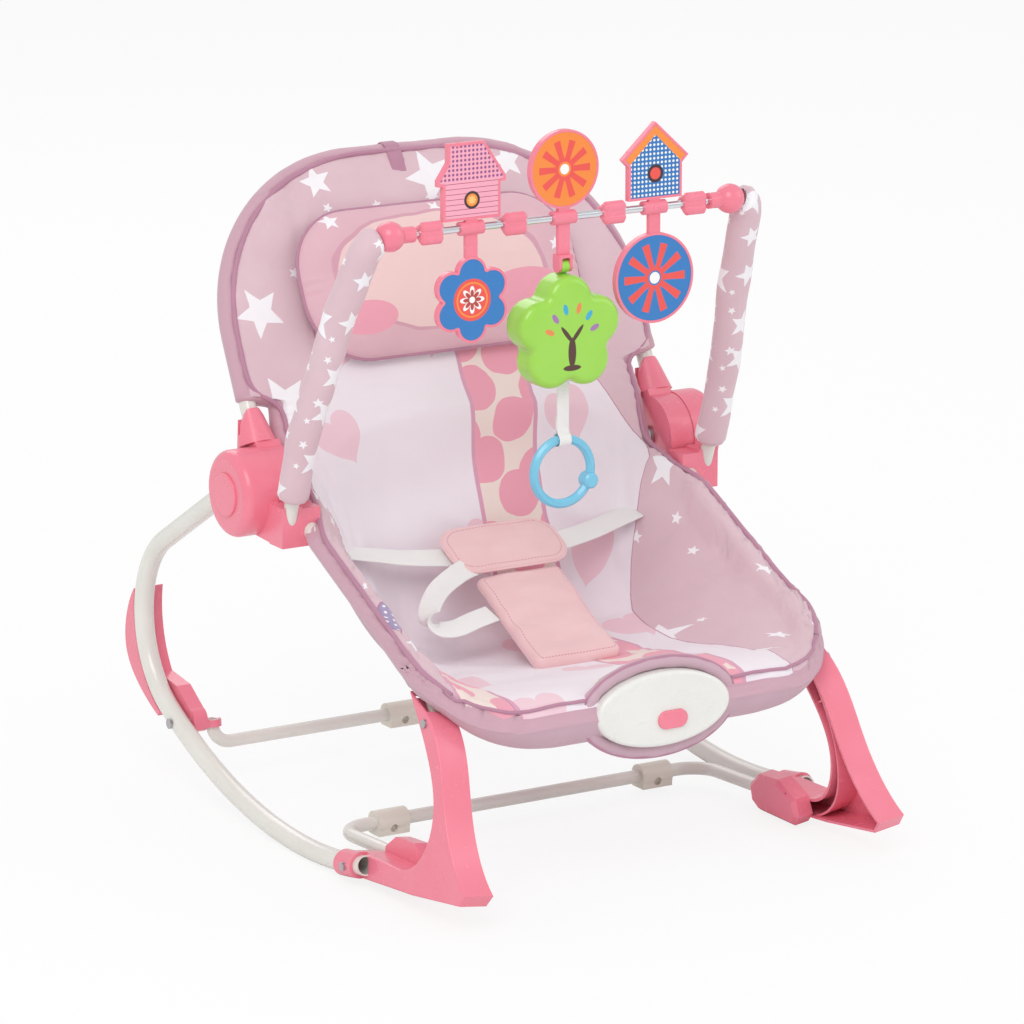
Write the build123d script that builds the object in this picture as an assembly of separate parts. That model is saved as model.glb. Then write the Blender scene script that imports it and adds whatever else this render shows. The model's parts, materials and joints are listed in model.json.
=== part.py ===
from build123d import *
import math
import os

os.makedirs("parts", exist_ok=True)

# Frame: Z up, the seat faces minus Y, the floor is Z = 0 and the origin lies under
# the middle of the seat. Every side piece is drawn on the plus X side and mirrored.

# Whole seat
toe_front_y = -317.5
fit_gap = 0.1
soft_gap = 0.4
cut_over = 1.0
quarter_turn = 90.0
spline_shares = [0, 0.2, 0.4, 0.6, 0.8, 1]

# Steel rocker rails
rail_x = 241.0
rail_d = 19.0
rail_wall = 1.5
rocker_radius = 560.0
rocker_centre_y = -28.5
rear_bend_radius = 95.0
rear_bend_y = 193.1
rear_bend_angle = 60.0
rail_front_y = -148.0
rail_end_y = 100.0

# Hubs: one on each side, turning about an axis along X
hub_y = 74.5
hub_z = 325.0
drum_radius = 41.0
drum_inner_x = 229.0
drum_outer_x = 262.0
drum_edge_radius = 9.0
axle_radius = 6.0
run_gap = 0.05
axle_head_radius = 10.0
axle_head_depth = 3.5
gear_pocket_radius = 17.0
gear_pocket_outer_x = 247.0
button_pocket_inner_x = 250.0
button_radius = 20.5
button_thick = 8.5
button_travel = 3.0
button_edge = 1.5
button_proud = 2.5
prong_radius = 1.5
prong_circle_radius = 12.0
prong_count = 3
gear_radius = 15.0
gear_root_radius = 12.6
gear_teeth = 12
gear_tooth_root = 4.6
gear_tooth_tip = 2.4
gear_inner_x = 225.0
gear_outer_x = 231.0
spring_thick = 0.8
spring_inner_radius = 14.2
spring_outer_radius = 19.5
spring_slack = 0.3

# Recline arms
arm_radius = 40.0
arm_gap = 0.3
arm_inner_x = 203.0
arm_recess_depth = 7.0
back_lean = 26.0
tower_base_u = 42.5
tower_tip_u = 76.0
tower_base_radius = 19.0
tower_cut_width = 76.0
tower_tip_radius = 10.6
tower_neck_width = 34.0
tower_slot = 5.0
tower_slot_u = 54.0
tower_rear_top_u = 69.0
tower_point = 5.0

# Toy bar pocket and seat tube socket, moulded in front of each drum
pocket_rear_y = 33.2
pocket_front_y = 8.0
pocket_top_z = 322.0
pocket_bottom_z = 284.0
pocket_inner_x = 217.8
pocket_outer_x = 239.0
pocket_wall = 2.6
socket_inner_x = 199.0
socket_top_z = 320.0
neck_top_angle = 150.0
neck_bottom_angle = 250.0
pocket_notch_width = 7.0
pocket_notch_depth = 12.0

# Seat tube, a bent loop open at the hubs
seat_d = 16.0
seat_wall = 1.5
seat_rear_x = 208.4
seat_rear_y = 29.0
seat_rear_z = 307.0
seat_front_x = 203.0
seat_front_y = -252.0
seat_front_z = 172.0
seat_corner_radius = 75.0

# Back tube, a bent loop in the leaning plane of the back
back_d = 16.0
back_wall = 1.5
back_tube_x = 219.0
back_tube_bottom_u = 20.0
back_tube_top_u = 306.0
back_corner_radius = 160.0

# Front feet; outlines are shares of the foot's length from the heel and of its height
foot_heel_y = -113.0
foot_height = 193.0
foot_rear_shares = [(0.328, 1.0), (0.538, 0.746), (0.65, 0.477), (0.601, 0.285), (0.425, 0.171)]
foot_heel_shares = [(0.425, 0.171), (0.112, 0.161), (0.0, 0.14), (0.0, 0.036), (0.064, 0.034)]
foot_sole_shares = [(0.064, 0.034), (0.557, 0.083), (0.954, 0.145), (1.0, 0.207)]
foot_front_shares = [(1.0, 0.207), (0.87, 0.321), (0.753, 0.508), (0.665, 0.72), (0.479, 0.938)]
foot_rib_shares = [(0.565, 0.83), (0.67, 0.57), (0.67, 0.31), (0.45, 0.083)]
foot_bar_shares = [(0.56, 0.7), (0.63, 0.74)]
foot_mouth_shares = [(0.469, 0.922), (0.347, 0.974), (0.328, 1.036), (0.494, 0.985)]
foot_tongue_shares = [(0.42, 0.99), (0.385, 1.0), (0.49, 0.84), (0.512, 0.84)]
foot_wall = 2.6
foot_edge_radius = 2.0
foot_outer_x = 239.0
foot_depth = 29.0
foot_lean = 8.5
foot_lean_z = 20.0
foot_collar_radius = 12.5
foot_collar_cut_z = 50.0
foot_collar_front_y = -140.0
foot_collar_rear_y = -109.0
foot_rib = 2.2
foot_screw_share = (0.492, 0.885)
heel_screw_y = -128.0
screw_radius = 2.0
screw_gap = 0.15
screw_head_radius = 4.0
screw_head_height = 2.2
screw_length = 14.0

# Seat clips between the seat tube and the feet
clip_inner_x = 194.0
clip_outer_x = 206.5
clip_front_y = -208.0
clip_rear_y = -178.0
clip_wall = 3.0
clip_notch_front_y = -224.0
clip_notch_rear_y = -172.0

# Front brace
brace_d = 12.7
brace_wall = 1.2
brace_bight_y = -24.0
brace_bight_z = 17.0
brace_leg_x = 201.0
brace_bend_radius = 30.0
sleeve_x = 146.0
sleeve_length = 33.0
sleeve_radius = 11.5
sleeve_flat = 10.0
sleeve_drop = 5.0

# Brace end blocks, on the inner side of each heel
block_inner_x = 190.5
block_outer_x = 209.6
block_front_y = -205.0
block_rear_y = -126.0
block_top_z = 50.0
block_bottom_z = 9.0
block_shares = [
    (0.0, 0.2), (0.0, 0.62), (0.2, 0.93), (0.62, 1.0),
    (0.95, 0.68), (1.0, 0.25), (0.88, 0.0), (0.15, 0.0),
]
block_boss_radius = 5.0
block_chamfer = 4.0
block_hole_y = -188.0
block_hole_z = 32.0
block_boss_y = -165.0
block_boss_z = 21.0
brace_leg_end_y = -160.0
brace_leg_end_z = 24.0

# Kickstand, folded up along the rear of the rails as in the photo
kick_pivot_y = 217.0
kick_pivot_z = 66.5
kick_bar_y = 209.5
kick_bar_z = 42.0
kick_bar_x = 208.0
kick_bend_radius = 18.0
kick_cheek_inner_x = 216.0
kick_cheek_outer_x = 230.8
kick_fin_outer_x = 247.0
kick_fin_wall = 2.6
kick_fin_shares = [(12.0, 0.0), (0.0, 0.5), (-19.0, 1.0), (-38.0, 0.62), (-59.0, 0.2)]
kick_fin_bulge = 23.4
kick_gap = 0.8
kick_ring_radius = 12.0
kick_arm_front_shares = (-0.8, 0.6)
kick_arm_top_shares = (2.0, 2.4)
kick_arm_low_shares = (0.4, -0.9)
kick_arm_lead_angle = 4.0
kick_boss_radius = 9.0
kick_boss_inner_x = 199.0
kick_boss_top_z = 66.0
kick_leg_lean = 3.0
kick_bolt_radius = 3.0
bolt_head_radius = 5.0
bolt_head_height = 2.4

# Seat cover, a padded sling; centre shares run back from the rear top edge and up from the low middle
cover_rear_y = 88.0
cover_front_y = -272.0
cover_low_z = 163.0
cover_rise = 155.0
cover_top_shares = [
    (0, 1), (0.072, 0.56), (0.161, 0.14), (0.286, 0),
    (0.467, 0), (0.689, 0.058), (0.861, 0.155), (0.96, 0.14),
]
cover_under_shares = [
    (0.975, -0.06), (0.92, -0.17), (0.85, -0.17), (0.74, -0.08), (0.5, -0.066),
    (0.27, -0.066), (0.13, 0.09), (0.035, 0.52), (-0.03, 0.965),
]
cover_side_top_shares = [0.11, 0.2, 0.34, 0.48, 0.62, 0.76, 0.9, 0.985]
cover_side_under_shares = [0.985, 0.95, 0.88, 0.8, 0.64, 0.46, 0.33, 0.2, 0.11]
cover_station_shares = [(0, 0), (0.34, 0), (0.55, 0.08), (0.7, 0.35), (0.85, 0.8), (0.905, 1), (1, 1)]
cover_side_x = 219.0
cover_side_inner_x = 197.0
cover_side_height = 22.0
cover_hub_y = 4.0

# Back cover and pillow, in the plane of the back
back_cover_margin = 11.0
back_cover_front = 14.0
back_cover_rear = 11.0
back_cover_bottom_u = 26.0
back_cover_step_u = 82.0
back_cover_inner_x = 199.0
pillow_width = 300.0
pillow_bottom_u = 104.0
pillow_top_u = 250.0
pillow_thick = 34.0
pillow_corner = 60.0
pillow_edge = 13.0
strap_width = 16.0
strap_thick = 1.6
strap_x = -12.0

# Harness: a folded pad that rises from the seat, a flap over it and two webbing straps
crotch_width = 92.0
crotch_thick = 14.0
crotch_front_y = -126.0
crotch_front_z = 173.1
crotch_middle_y = -66.0
crotch_middle_z = 203.0
crotch_rear_y = -12.0
crotch_rear_z = 232.0
flap_width = 124.0
flap_height = 62.0
flap_thick = 9.0
flap_y = 12.5
flap_z = 252.4
flap_tilt = 62.0
flap_corner = 24.0
webbing_width = 25.0
webbing_thick = 2.0
webbing_inner_x = 58.0
webbing_outer_x = 159.0
webbing_outer_y = 30.5
webbing_outer_z = 265.0

# Vibration unit on the front bar
unit_front_y = -273.0
unit_z = 165.0
unit_width = 142.0
unit_height = 70.0
unit_front_depth = 12.0
unit_rear_depth = 27.0
unit_wall = 2.4
unit_screw_room_depth = 4.8
unit_screw_tip_depth = 7.2
unit_screw_head_sink = 0.5
unit_edge = 4.0
unit_button_width = 31.0
unit_button_height = 17.0
unit_button_x = 8.0
unit_button_drop = 10.0
unit_button_proud = 2.6
unit_button_flange = 2.0
unit_button_flange_thick = 1.6
cell_radius = 5.25
cell_length = 44.5
cell_drop = 18.0
bay_half_width = 46.5
bay_margin = 0.3
motor_radius = 4.5
motor_length = 20.0
motor_x = -36.0
motor_weight_radius = 3.8
motor_weight_length = 4.0
unit_screw_x = 53.0
unit_screw_drop = 14.0
unit_boss_radius = 3.6
unit_screw_radius = 1.5

# Toy bar
bar_tube_d = 14.0
bar_tube_wall = 1.2
bar_sleeve_d = 30.0
bar_foot_y = 20.5
bar_foot_z = 290.0
bar_foot_x = 228.4
bar_knee_y = -14.0
bar_knee_z = 394.0
bar_knee_radius = 200.0
bar_shoulder_x = 213.0
bar_shoulder_y = -61.0
bar_shoulder_z = 518.0
bar_shoulder_radius = 200.0
rod_half = 169.0
bar_top_reach = 34.0
bar_top_x = rod_half + bar_top_reach
bar_top_radius = 24.0
bar_end_reach = 5.0
bar_end_x = rod_half + bar_end_reach
sleeve_inner_reach = 23.0
sleeve_inner_x = rod_half + sleeve_inner_reach
sleeve_bottom_z = 328.0
rod_y = -94.5
rod_z = 588.0
rod_d = 7.0
cap_radius = 14.0
cap_reach = 13.0
cap_x = rod_half + cap_reach
cap_neck_overlap = 11.0
cap_neck_x = rod_half - cap_neck_overlap
cap_neck_radius = 7.5
bead_radius = 11.5
bead_length = 23.0
bead_lobes = 3
bead_lobe_radius = 5.5
bead_core_radius = 8.0
bead_edge = 2.5
bead_outer_x = 141.0
bead_inner_x = 53.0

# Toys on the rod
toy_x = 98.0
toy_thick = 6.0
toy_rim = 2.4
plate_thick = 1.6
toy_sleeve_length = 24.0
toy_sleeve_radius = 6.5
stalk_width = 12.0
stalk_thick = 5.0
house_width = 71.0
house_wall_height = 38.0
house_roof_height = 33.0
house_eaves = 5.5
house_ridge = 13.0
chimney_share = -0.55
birdhouse_width = 72.0
birdhouse_height = 72.0
birdhouse_wall = 46.0
birdhouse_eaves = 7.0
chimney_width = 11.0
chimney_height = 20.0
wheel_radius = 42.5
top_disc_radius = 36.5
flower_radius = 40.0
flower_petals = 6
flower_petal_radius = 15.5
flower_core = 27.0
low_toy_drop = 66.0
plate_above = 8.0
disc_rise = 45.0
ear_width = 3.0
ear_inner_x = 4.2
ear_radius = 6.0
ear_drop = 45.0
ear_top_drop = 34.0
sleeve_bore_gap = 0.05

# Rattle, ribbon and ring
rattle_width = 110.0
rattle_thick = 34.0
rattle_lobes = 5
rattle_lobe_radius = 24.0
rattle_core_radius = 34.0
rattle_drop = 107.0
rattle_wall = 2.0
rattle_root_depth = 4.0
rattle_edge = 8.0
rattle_blend = 7.0
rattle_lug_radius = 6.0
rattle_lug_half = 3.9
rattle_pin_radius = 2.5
ribbon_width = 13.0
ribbon_thick = 1.6
ribbon_length = 50.0
ribbon_slack = 0.9
ring_pivot_drop = 153.4
ring_outer_radius = 35.0
ring_sides = 8
ring_section_turn = 22.5
ring_clasp_angle = -22.0
ring_clasp_edge = 2.0
ring_section = 9.0
ring_clasp_radius = 7.5


# Shapes that many pieces share


def circle_point(centre_y, centre_z, radius, degrees, x):
    angle = math.radians(degrees)
    return Vector(x, centre_y + radius * math.cos(angle), centre_z + radius * math.sin(angle))


def bar_x(y, z, x_from, x_to, radius):
    place = Location((x_from, y, z), (0, quarter_turn, 0))
    return place * Cylinder(radius, x_to - x_from, align=(Align.CENTER, Align.CENTER, Align.MIN))


def block(x_from, x_to, y_from, y_to, z_from, z_to):
    middle = Pos((x_from + x_to) / 2, (y_from + y_to) / 2, (z_from + z_to) / 2)
    return middle * Box(abs(x_to - x_from), y_to - y_from, z_to - z_from)


def side_plate(face, x_from, x_to):
    return extrude(Plane.YZ.offset(x_from) * face, x_to - x_from)


def front_plate(face, x, z, y_front, thick):
    facing = Plane(origin=(x, y_front, z), x_dir=(1, 0, 0), z_dir=(0, -1, 0))
    return extrude(facing * face, -thick)


def polygon(*points):
    return make_face(Polyline(*points, close=True))


def inset(face, amount):
    """The outline moved inward, each stretch redrawn as a line or as one spline."""
    stretches = []
    for edge in offset(face, amount=-amount).edges():
        if edge.geom_type == GeomType.LINE:
            stretches.append(Line(edge @ 0, edge @ 1))
        else:
            stretches.append(Spline(*[edge @ share for share in spline_shares]))
    return make_face(stretches)


def swept(path, radius):
    start = Plane(origin=path @ 0, z_dir=path % 0)
    return sweep(start * Circle(radius), path=path)


def swept_tube(path, diameter, wall):
    start = Plane(origin=path @ 0, z_dir=path % 0)
    return sweep(start * (Circle(diameter / 2) - Circle(diameter / 2 - wall)), path=path)


def mirrored(shape):
    return mirror(shape, about=Plane.YZ)


def save(shape, name):
    export_step(Compound(list(shape.solids())), f"parts/{name}.step")


def save_sides(shape, name):
    save(shape, f"right_{name}")
    save(mirrored(shape), f"left_{name}")


def save_pair(shape, name):
    export_step(Compound(list(shape.solids()) + list(mirrored(shape).solids())), f"parts/{name}.step")


def back_plane(n=0.0):
    lean = math.radians(back_lean)
    forward = Vector(0, -math.cos(lean), math.sin(lean))
    origin = Vector(0, hub_y, hub_z) + forward * n
    return Plane(origin=origin, x_dir=(1, 0, 0), z_dir=forward)


def back_point(x, u, n=0.0):
    lean = math.radians(back_lean)
    y = hub_y + u * math.sin(lean) - n * math.cos(lean)
    return Vector(x, y, hub_z + u * math.cos(lean) + n * math.sin(lean))


def lean_foot(shape):
    pivot = Axis((foot_outer_x, 0, foot_lean_z), (0, 1, 0))
    return shape.rotate(pivot, -foot_lean)


# Rails


def bend_centre_z():
    reach = rear_bend_y - rocker_centre_y
    return rail_d / 2 + rocker_radius - math.sqrt((rocker_radius - rear_bend_radius) ** 2 - reach**2)


def rail_path(x):
    centre_z = rail_d / 2 + rocker_radius
    rear_z = bend_centre_z()
    join = math.degrees(math.atan2(rear_z - centre_z, rear_bend_y - rocker_centre_y))
    front = -math.degrees(math.acos((rail_front_y - rocker_centre_y) / rocker_radius))
    low_angles = (front, (front + join) / 2, join)
    low = [circle_point(rocker_centre_y, centre_z, rocker_radius, angle, x) for angle in low_angles]
    bend_middle = circle_point(rear_bend_y, rear_z, rear_bend_radius, (join + rear_bend_angle) / 2, x)
    top = circle_point(rear_bend_y, rear_z, rear_bend_radius, rear_bend_angle, x)
    slope = math.radians(rear_bend_angle)
    run = (top.Y - rail_end_y) / math.sin(slope)
    end = top + Vector(0, -math.sin(slope), math.cos(slope)) * run
    return Wire([ThreePointArc(*low), ThreePointArc(low[2], bend_middle, top), Line(top, end)])


def rail_low_z(y):
    """Height of the rail's centreline over a place along the rocker."""
    return rail_d / 2 + rocker_radius - math.sqrt(rocker_radius**2 - (y - rocker_centre_y) ** 2)


def rail():
    tube = swept_tube(rail_path(rail_x), rail_d, rail_wall)
    bolt_hole = bar_x(
        kick_pivot_y, kick_pivot_z, rail_x - rail_d, rail_x + rail_d, kick_bolt_radius + run_gap
    )
    return tube - bolt_hole


# Seat tube and back tube


def seat_path():
    return Wire(
        FilletPolyline(
            (seat_rear_x, seat_rear_y, seat_rear_z),
            (seat_front_x, seat_front_y, seat_front_z),
            (-seat_front_x, seat_front_y, seat_front_z),
            (-seat_rear_x, seat_rear_y, seat_rear_z),
            radius=seat_corner_radius,
        ).edges()
    )


def back_path():
    corners = FilletPolyline(
        (back_tube_x, back_tube_bottom_u),
        (back_tube_x, back_tube_top_u),
        (-back_tube_x, back_tube_top_u),
        (-back_tube_x, back_tube_bottom_u),
        radius=back_corner_radius,
    )
    return Wire((back_plane() * corners).edges())


# Front feet


def foot_points(shares):
    length = foot_heel_y - toe_front_y
    return [(foot_heel_y - share_y * length, share_z * foot_height) for share_y, share_z in shares]


def foot_outline():
    rear = Spline(*foot_points(foot_rear_shares))
    heel = Polyline(*foot_points(foot_heel_shares))
    sole = Polyline(*foot_points(foot_sole_shares))
    front = Spline(*foot_points(foot_front_shares))
    top = Line(front @ 1, rear @ 0)
    return make_face([rear, heel, sole, front, top])


def foot_screw(radius, x_from, x_to):
    (screw_y, screw_z), = foot_points([foot_screw_share])
    return lean_foot(bar_x(screw_y, screw_z, x_from, x_to, radius))


def foot():
    """An open moulded shell with a curved rib, a cross rib and a collar for the rail."""
    inner_x = foot_outer_x - foot_depth
    plate_x = foot_outer_x - foot_wall
    outline = foot_outline()
    full = side_plate(outline, inner_x, foot_outer_x)
    shell = fillet(full.faces().sort_by(Axis.X)[-1].edges(), foot_edge_radius)
    hollow = side_plate(inset(outline, foot_wall), inner_x - cut_over, plate_x)
    rib = trace(Spline(*foot_points(foot_rib_shares)), foot_rib)
    bar = trace(Line(*foot_points(foot_bar_shares)), foot_rib)
    ribs = side_plate(rib, inner_x + foot_wall, plate_x) + side_plate(bar, inner_x + foot_wall, plate_x)
    mouth = side_plate(polygon(*foot_points(foot_mouth_shares)), inner_x - cut_over, plate_x)
    shell = lean_foot(shell - hollow + (ribs & full) - mouth)
    collar = swept(rail_path(rail_x), foot_collar_radius) & block(
        rail_x - rail_d, rail_x + rail_d, foot_collar_front_y, foot_collar_rear_y, 0, foot_collar_cut_z
    )
    room = swept(rail_path(rail_x), rail_d / 2 + fit_gap)
    heel_hole = bar_x(heel_screw_y, rail_low_z(heel_screw_y), rail_x, drum_outer_x, screw_radius + screw_gap)
    return shell + collar - room - foot_screw(screw_radius + screw_gap, inner_x, drum_outer_x) - heel_hole


def seat_clip():
    """A collar round the seat tube with a tongue that drops into the open top of the foot."""
    outer = swept(seat_path(), seat_d / 2 + clip_wall)
    collar = outer & block(0, rail_x, clip_front_y, clip_rear_y, 0, hub_z)
    tongue = side_plate(polygon(*foot_points(foot_tongue_shares)), clip_inner_x, clip_outer_x)
    bore = swept(seat_path(), seat_d / 2 + fit_gap)
    return collar + tongue - bore - foot_screw(screw_radius + screw_gap, clip_inner_x - seat_d, rail_x)


# Front brace


def brace_path():
    return Wire(
        FilletPolyline(
            (brace_leg_x, brace_leg_end_y, brace_leg_end_z),
            (brace_leg_x, brace_bight_y, brace_bight_z),
            (-brace_leg_x, brace_bight_y, brace_bight_z),
            (-brace_leg_x, brace_leg_end_y, brace_leg_end_z),
            radius=brace_bend_radius,
        ).edges()
    )


def clamp_sleeve(x, y, z, path):
    body = bar_x(y, z, x - sleeve_length / 2, x + sleeve_length / 2, sleeve_radius)
    foot_pad = block(
        x - sleeve_length / 2, x + sleeve_length / 2, y - sleeve_flat, y + sleeve_flat, z - sleeve_radius, z
    )
    hole = Pos(x, y - sleeve_radius, z - sleeve_drop) * Rot(quarter_turn, 0, 0) * Cylinder(
        screw_head_radius, sleeve_radius
    )
    return body + foot_pad - swept(path, brace_d / 2 + fit_gap) - hole


def brace_block():
    """A boxy end block on the heel's inner side, with a boss that enters the open foot."""
    depth = block_rear_y - block_front_y
    height = block_top_z - block_bottom_z
    outline = [
        (block_rear_y - share_y * depth, block_bottom_z + share_z * height)
        for share_y, share_z in block_shares
    ]
    body = side_plate(polygon(*outline), block_inner_x, block_outer_x)
    body = chamfer(body.faces().sort_by(Axis.X)[0].edges(), block_chamfer)
    boss_end = foot_outer_x - foot_wall - soft_gap
    boss = bar_x(block_boss_y, block_boss_z, block_outer_x, boss_end, block_boss_radius)
    hole_end_x = block_inner_x + block_chamfer
    screw_hole = bar_x(block_hole_y, block_hole_z, block_inner_x - cut_over, hole_end_x, screw_radius)
    return lean_foot(body + boss) - swept(brace_path(), brace_d / 2 + fit_gap) - screw_hole


# Kickstand


def fin_point(degrees, out):
    point = circle_point(rear_bend_y, bend_centre_z(), rear_bend_radius + rail_d / 2 + out, degrees, 0)
    return (point.Y, point.Z)


def kick_ring_point(shares):
    share_y, share_z = shares
    return (kick_pivot_y + share_y * kick_ring_radius, kick_pivot_z + share_z * kick_ring_radius)


def kick_foot():
    """A curved fin that hugs the rail from behind, and a cheek with the pivot bore."""
    angles = [angle for angle, share in kick_fin_shares]
    arc_angles = (angles[0], (angles[0] + angles[-1]) / 2, angles[-1])
    inner = ThreePointArc(*[fin_point(angle, kick_gap) for angle in arc_angles])
    edge_gap = kick_gap + cut_over
    outer = Spline(*[fin_point(angle, edge_gap + share * kick_fin_bulge) for angle, share in kick_fin_shares])
    outline = make_face([inner, outer, Line(inner @ 0, outer @ 0), Line(inner @ 1, outer @ 1)])
    fin = side_plate(outline, kick_cheek_inner_x, kick_fin_outer_x)
    hollow = side_plate(inset(outline, kick_fin_wall), 0, kick_fin_outer_x - kick_fin_wall)
    ring = Pos(kick_pivot_y, kick_pivot_z) * Circle(kick_ring_radius)
    arm = polygon(
        kick_ring_point(kick_arm_front_shares),
        kick_ring_point(kick_arm_top_shares),
        fin_point(angles[-2] + kick_arm_lead_angle, kick_gap + kick_fin_wall),
        fin_point(angles[-1], kick_gap + kick_fin_wall),
        kick_ring_point(kick_arm_low_shares),
    )
    cheek = side_plate(arm + ring, kick_cheek_inner_x, kick_cheek_outer_x)
    boss_z = kick_bar_z + kick_bend_radius
    boss = swept(kick_bar_path(), kick_boss_radius) & block(
        kick_boss_inner_x, kick_cheek_inner_x, kick_bar_y - rail_d, kick_bar_y + rail_d, boss_z, hub_z
    )
    web_front_y = kick_bar_y - kick_boss_radius / 2
    boss = boss + block(
        kick_bar_x, kick_cheek_outer_x - cut_over, web_front_y, kick_pivot_y, boss_z, kick_boss_top_z
    )
    bolt = bar_x(kick_pivot_y, kick_pivot_z, kick_boss_inner_x - cut_over, rail_x, kick_bolt_radius + run_gap)
    room = swept(kick_bar_path(), brace_d / 2 + fit_gap)
    return (fin - hollow) + cheek + boss - bolt - room


def kick_bar_path():
    top = (kick_bar_x, kick_bar_y + kick_leg_lean, kick_boss_top_z)
    return Wire(
        FilletPolyline(
            top,
            (kick_bar_x, kick_bar_y, kick_bar_z),
            (-kick_bar_x, kick_bar_y, kick_bar_z),
            (-top[0], top[1], top[2]),
            radius=kick_bend_radius,
        ).edges()
    )


def kick_bolts():
    """A pivot bolt through each rail, its head on the outer side."""
    head_x = rail_x + rail_d / 2
    end_x = head_x + bolt_head_height
    shank = bar_x(kick_pivot_y, kick_pivot_z, kick_cheek_inner_x + cut_over, end_x, kick_bolt_radius)
    head = bar_x(kick_pivot_y, kick_pivot_z, head_x + run_gap, end_x, bolt_head_radius)
    return shank + head


# Hubs


def hub_bar(x_from, x_to, radius):
    return bar_x(hub_y, hub_z, x_from, x_to, radius)


def hub_point(degrees, radius):
    point = circle_point(hub_y, hub_z, radius, degrees, 0)
    return (point.Y, point.Z)


def bar_leg_slope():
    """The way the toy bar's leg runs where it stands in the pocket."""
    return Vector(0, bar_knee_y - bar_foot_y, bar_knee_z - bar_foot_z).normalized()


def hub_housing():
    """Drum, toy bar pocket and seat tube socket in one moulding."""
    drum = hub_bar(drum_inner_x, drum_outer_x, drum_radius)
    drum = fillet(drum.edges().group_by(Axis.X)[-1], drum_edge_radius)
    neck = side_plate(
        polygon(
            (pocket_front_y, pocket_bottom_z),
            (pocket_front_y, pocket_top_z),
            (pocket_rear_y, pocket_top_z),
            hub_point(neck_top_angle, drum_radius),
            (hub_y, hub_z),
            hub_point(neck_bottom_angle, drum_radius),
        ),
        drum_inner_x,
        pocket_outer_x,
    )
    pocket = block(
        pocket_inner_x, pocket_outer_x, pocket_front_y, pocket_rear_y, pocket_bottom_z, pocket_top_z
    )
    socket = block(
        socket_inner_x, pocket_inner_x, pocket_front_y, pocket_rear_y, pocket_bottom_z, socket_top_z
    )
    body = drum + neck + pocket + socket
    body = body - hub_bar(drum_inner_x - cut_over, gear_pocket_outer_x, gear_pocket_radius)
    body = body - hub_bar(gear_pocket_outer_x - cut_over, drum_outer_x, axle_radius + run_gap)
    body = body - hub_bar(button_pocket_inner_x, drum_outer_x + cut_over, button_radius + fit_gap)
    for place in PolarLocations(prong_circle_radius, prong_count):
        hole = Plane.YZ.offset(gear_pocket_outer_x - cut_over) * Pos(hub_y, hub_z) * place
        body = body - hole * Cylinder(
            prong_radius + fit_gap, pocket_wall + button_travel, align=(Align.CENTER, Align.CENTER, Align.MIN)
        )
    leg = Plane(origin=(bar_foot_x, bar_foot_y, bar_foot_z), z_dir=bar_leg_slope()) * Cylinder(
        bar_tube_d / 2 + fit_gap, hub_z, align=(Align.CENTER, Align.CENTER, Align.MIN)
    )
    notch = block(
        bar_foot_x - pocket_notch_width / 2,
        bar_foot_x + pocket_notch_width / 2,
        pocket_front_y - cut_over,
        bar_foot_y,
        pocket_top_z - pocket_notch_depth,
        pocket_top_z + cut_over,
    )
    seat_room = swept(seat_path(), seat_d / 2 + fit_gap)
    rail_room = swept(rail_path(rail_x), rail_d / 2 + fit_gap)
    return body - leg - notch - seat_room - rail_room


def hub_axle():
    shank = hub_bar(arm_inner_x - axle_head_depth, button_pocket_inner_x, axle_radius)
    head = hub_bar(arm_inner_x - arm_gap - axle_head_depth, arm_inner_x - arm_gap, axle_head_radius)
    return shank + chamfer(head.edges().group_by(Axis.X)[0], cut_over)


def button_spring():
    """A coned spring washer between the wall of the drum and the back of the button."""
    wall_x = button_pocket_inner_x + spring_slack
    back_x = drum_outer_x + button_proud - button_thick - spring_slack
    section = polygon(
        (spring_outer_radius, wall_x),
        (spring_outer_radius, wall_x + spring_thick),
        (spring_inner_radius, back_x),
        (spring_inner_radius, back_x - spring_thick),
    )
    plane = Plane(origin=(0, hub_y, hub_z), x_dir=(0, 1, 0), z_dir=(0, 0, -1))
    return revolve(plane * section, Axis((0, hub_y, hub_z), (1, 0, 0)))


def recline_button():
    back_x = drum_outer_x + button_proud - button_thick
    disc = hub_bar(back_x, drum_outer_x + button_proud, button_radius)
    disc = fillet(disc.edges().group_by(Axis.X)[-1], button_edge)
    for place in PolarLocations(prong_circle_radius, prong_count):
        start = Plane.YZ.offset(gear_outer_x + spring_slack) * Pos(hub_y, hub_z) * place
        disc = disc + start * Cylinder(
            prong_radius, back_x - gear_outer_x, align=(Align.CENTER, Align.CENTER, Align.MIN)
        )
    return disc


def lock_gear():
    profile = Circle(gear_root_radius)
    for place in PolarLocations(0, gear_teeth):
        tooth = polygon(
            (gear_root_radius - cut_over, -gear_tooth_root / 2),
            (gear_radius, -gear_tooth_tip / 2),
            (gear_radius, gear_tooth_tip / 2),
            (gear_root_radius - cut_over, gear_tooth_root / 2),
        )
        profile = profile + place * tooth
    plane = Plane(origin=(gear_inner_x, hub_y, hub_z), x_dir=(0, 1, 0), z_dir=(1, 0, 0))
    gear = extrude(plane * profile, gear_outer_x - gear_inner_x)
    return gear - hub_bar(gear_inner_x - cut_over, gear_outer_x + cut_over, axle_radius + run_gap)


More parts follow.
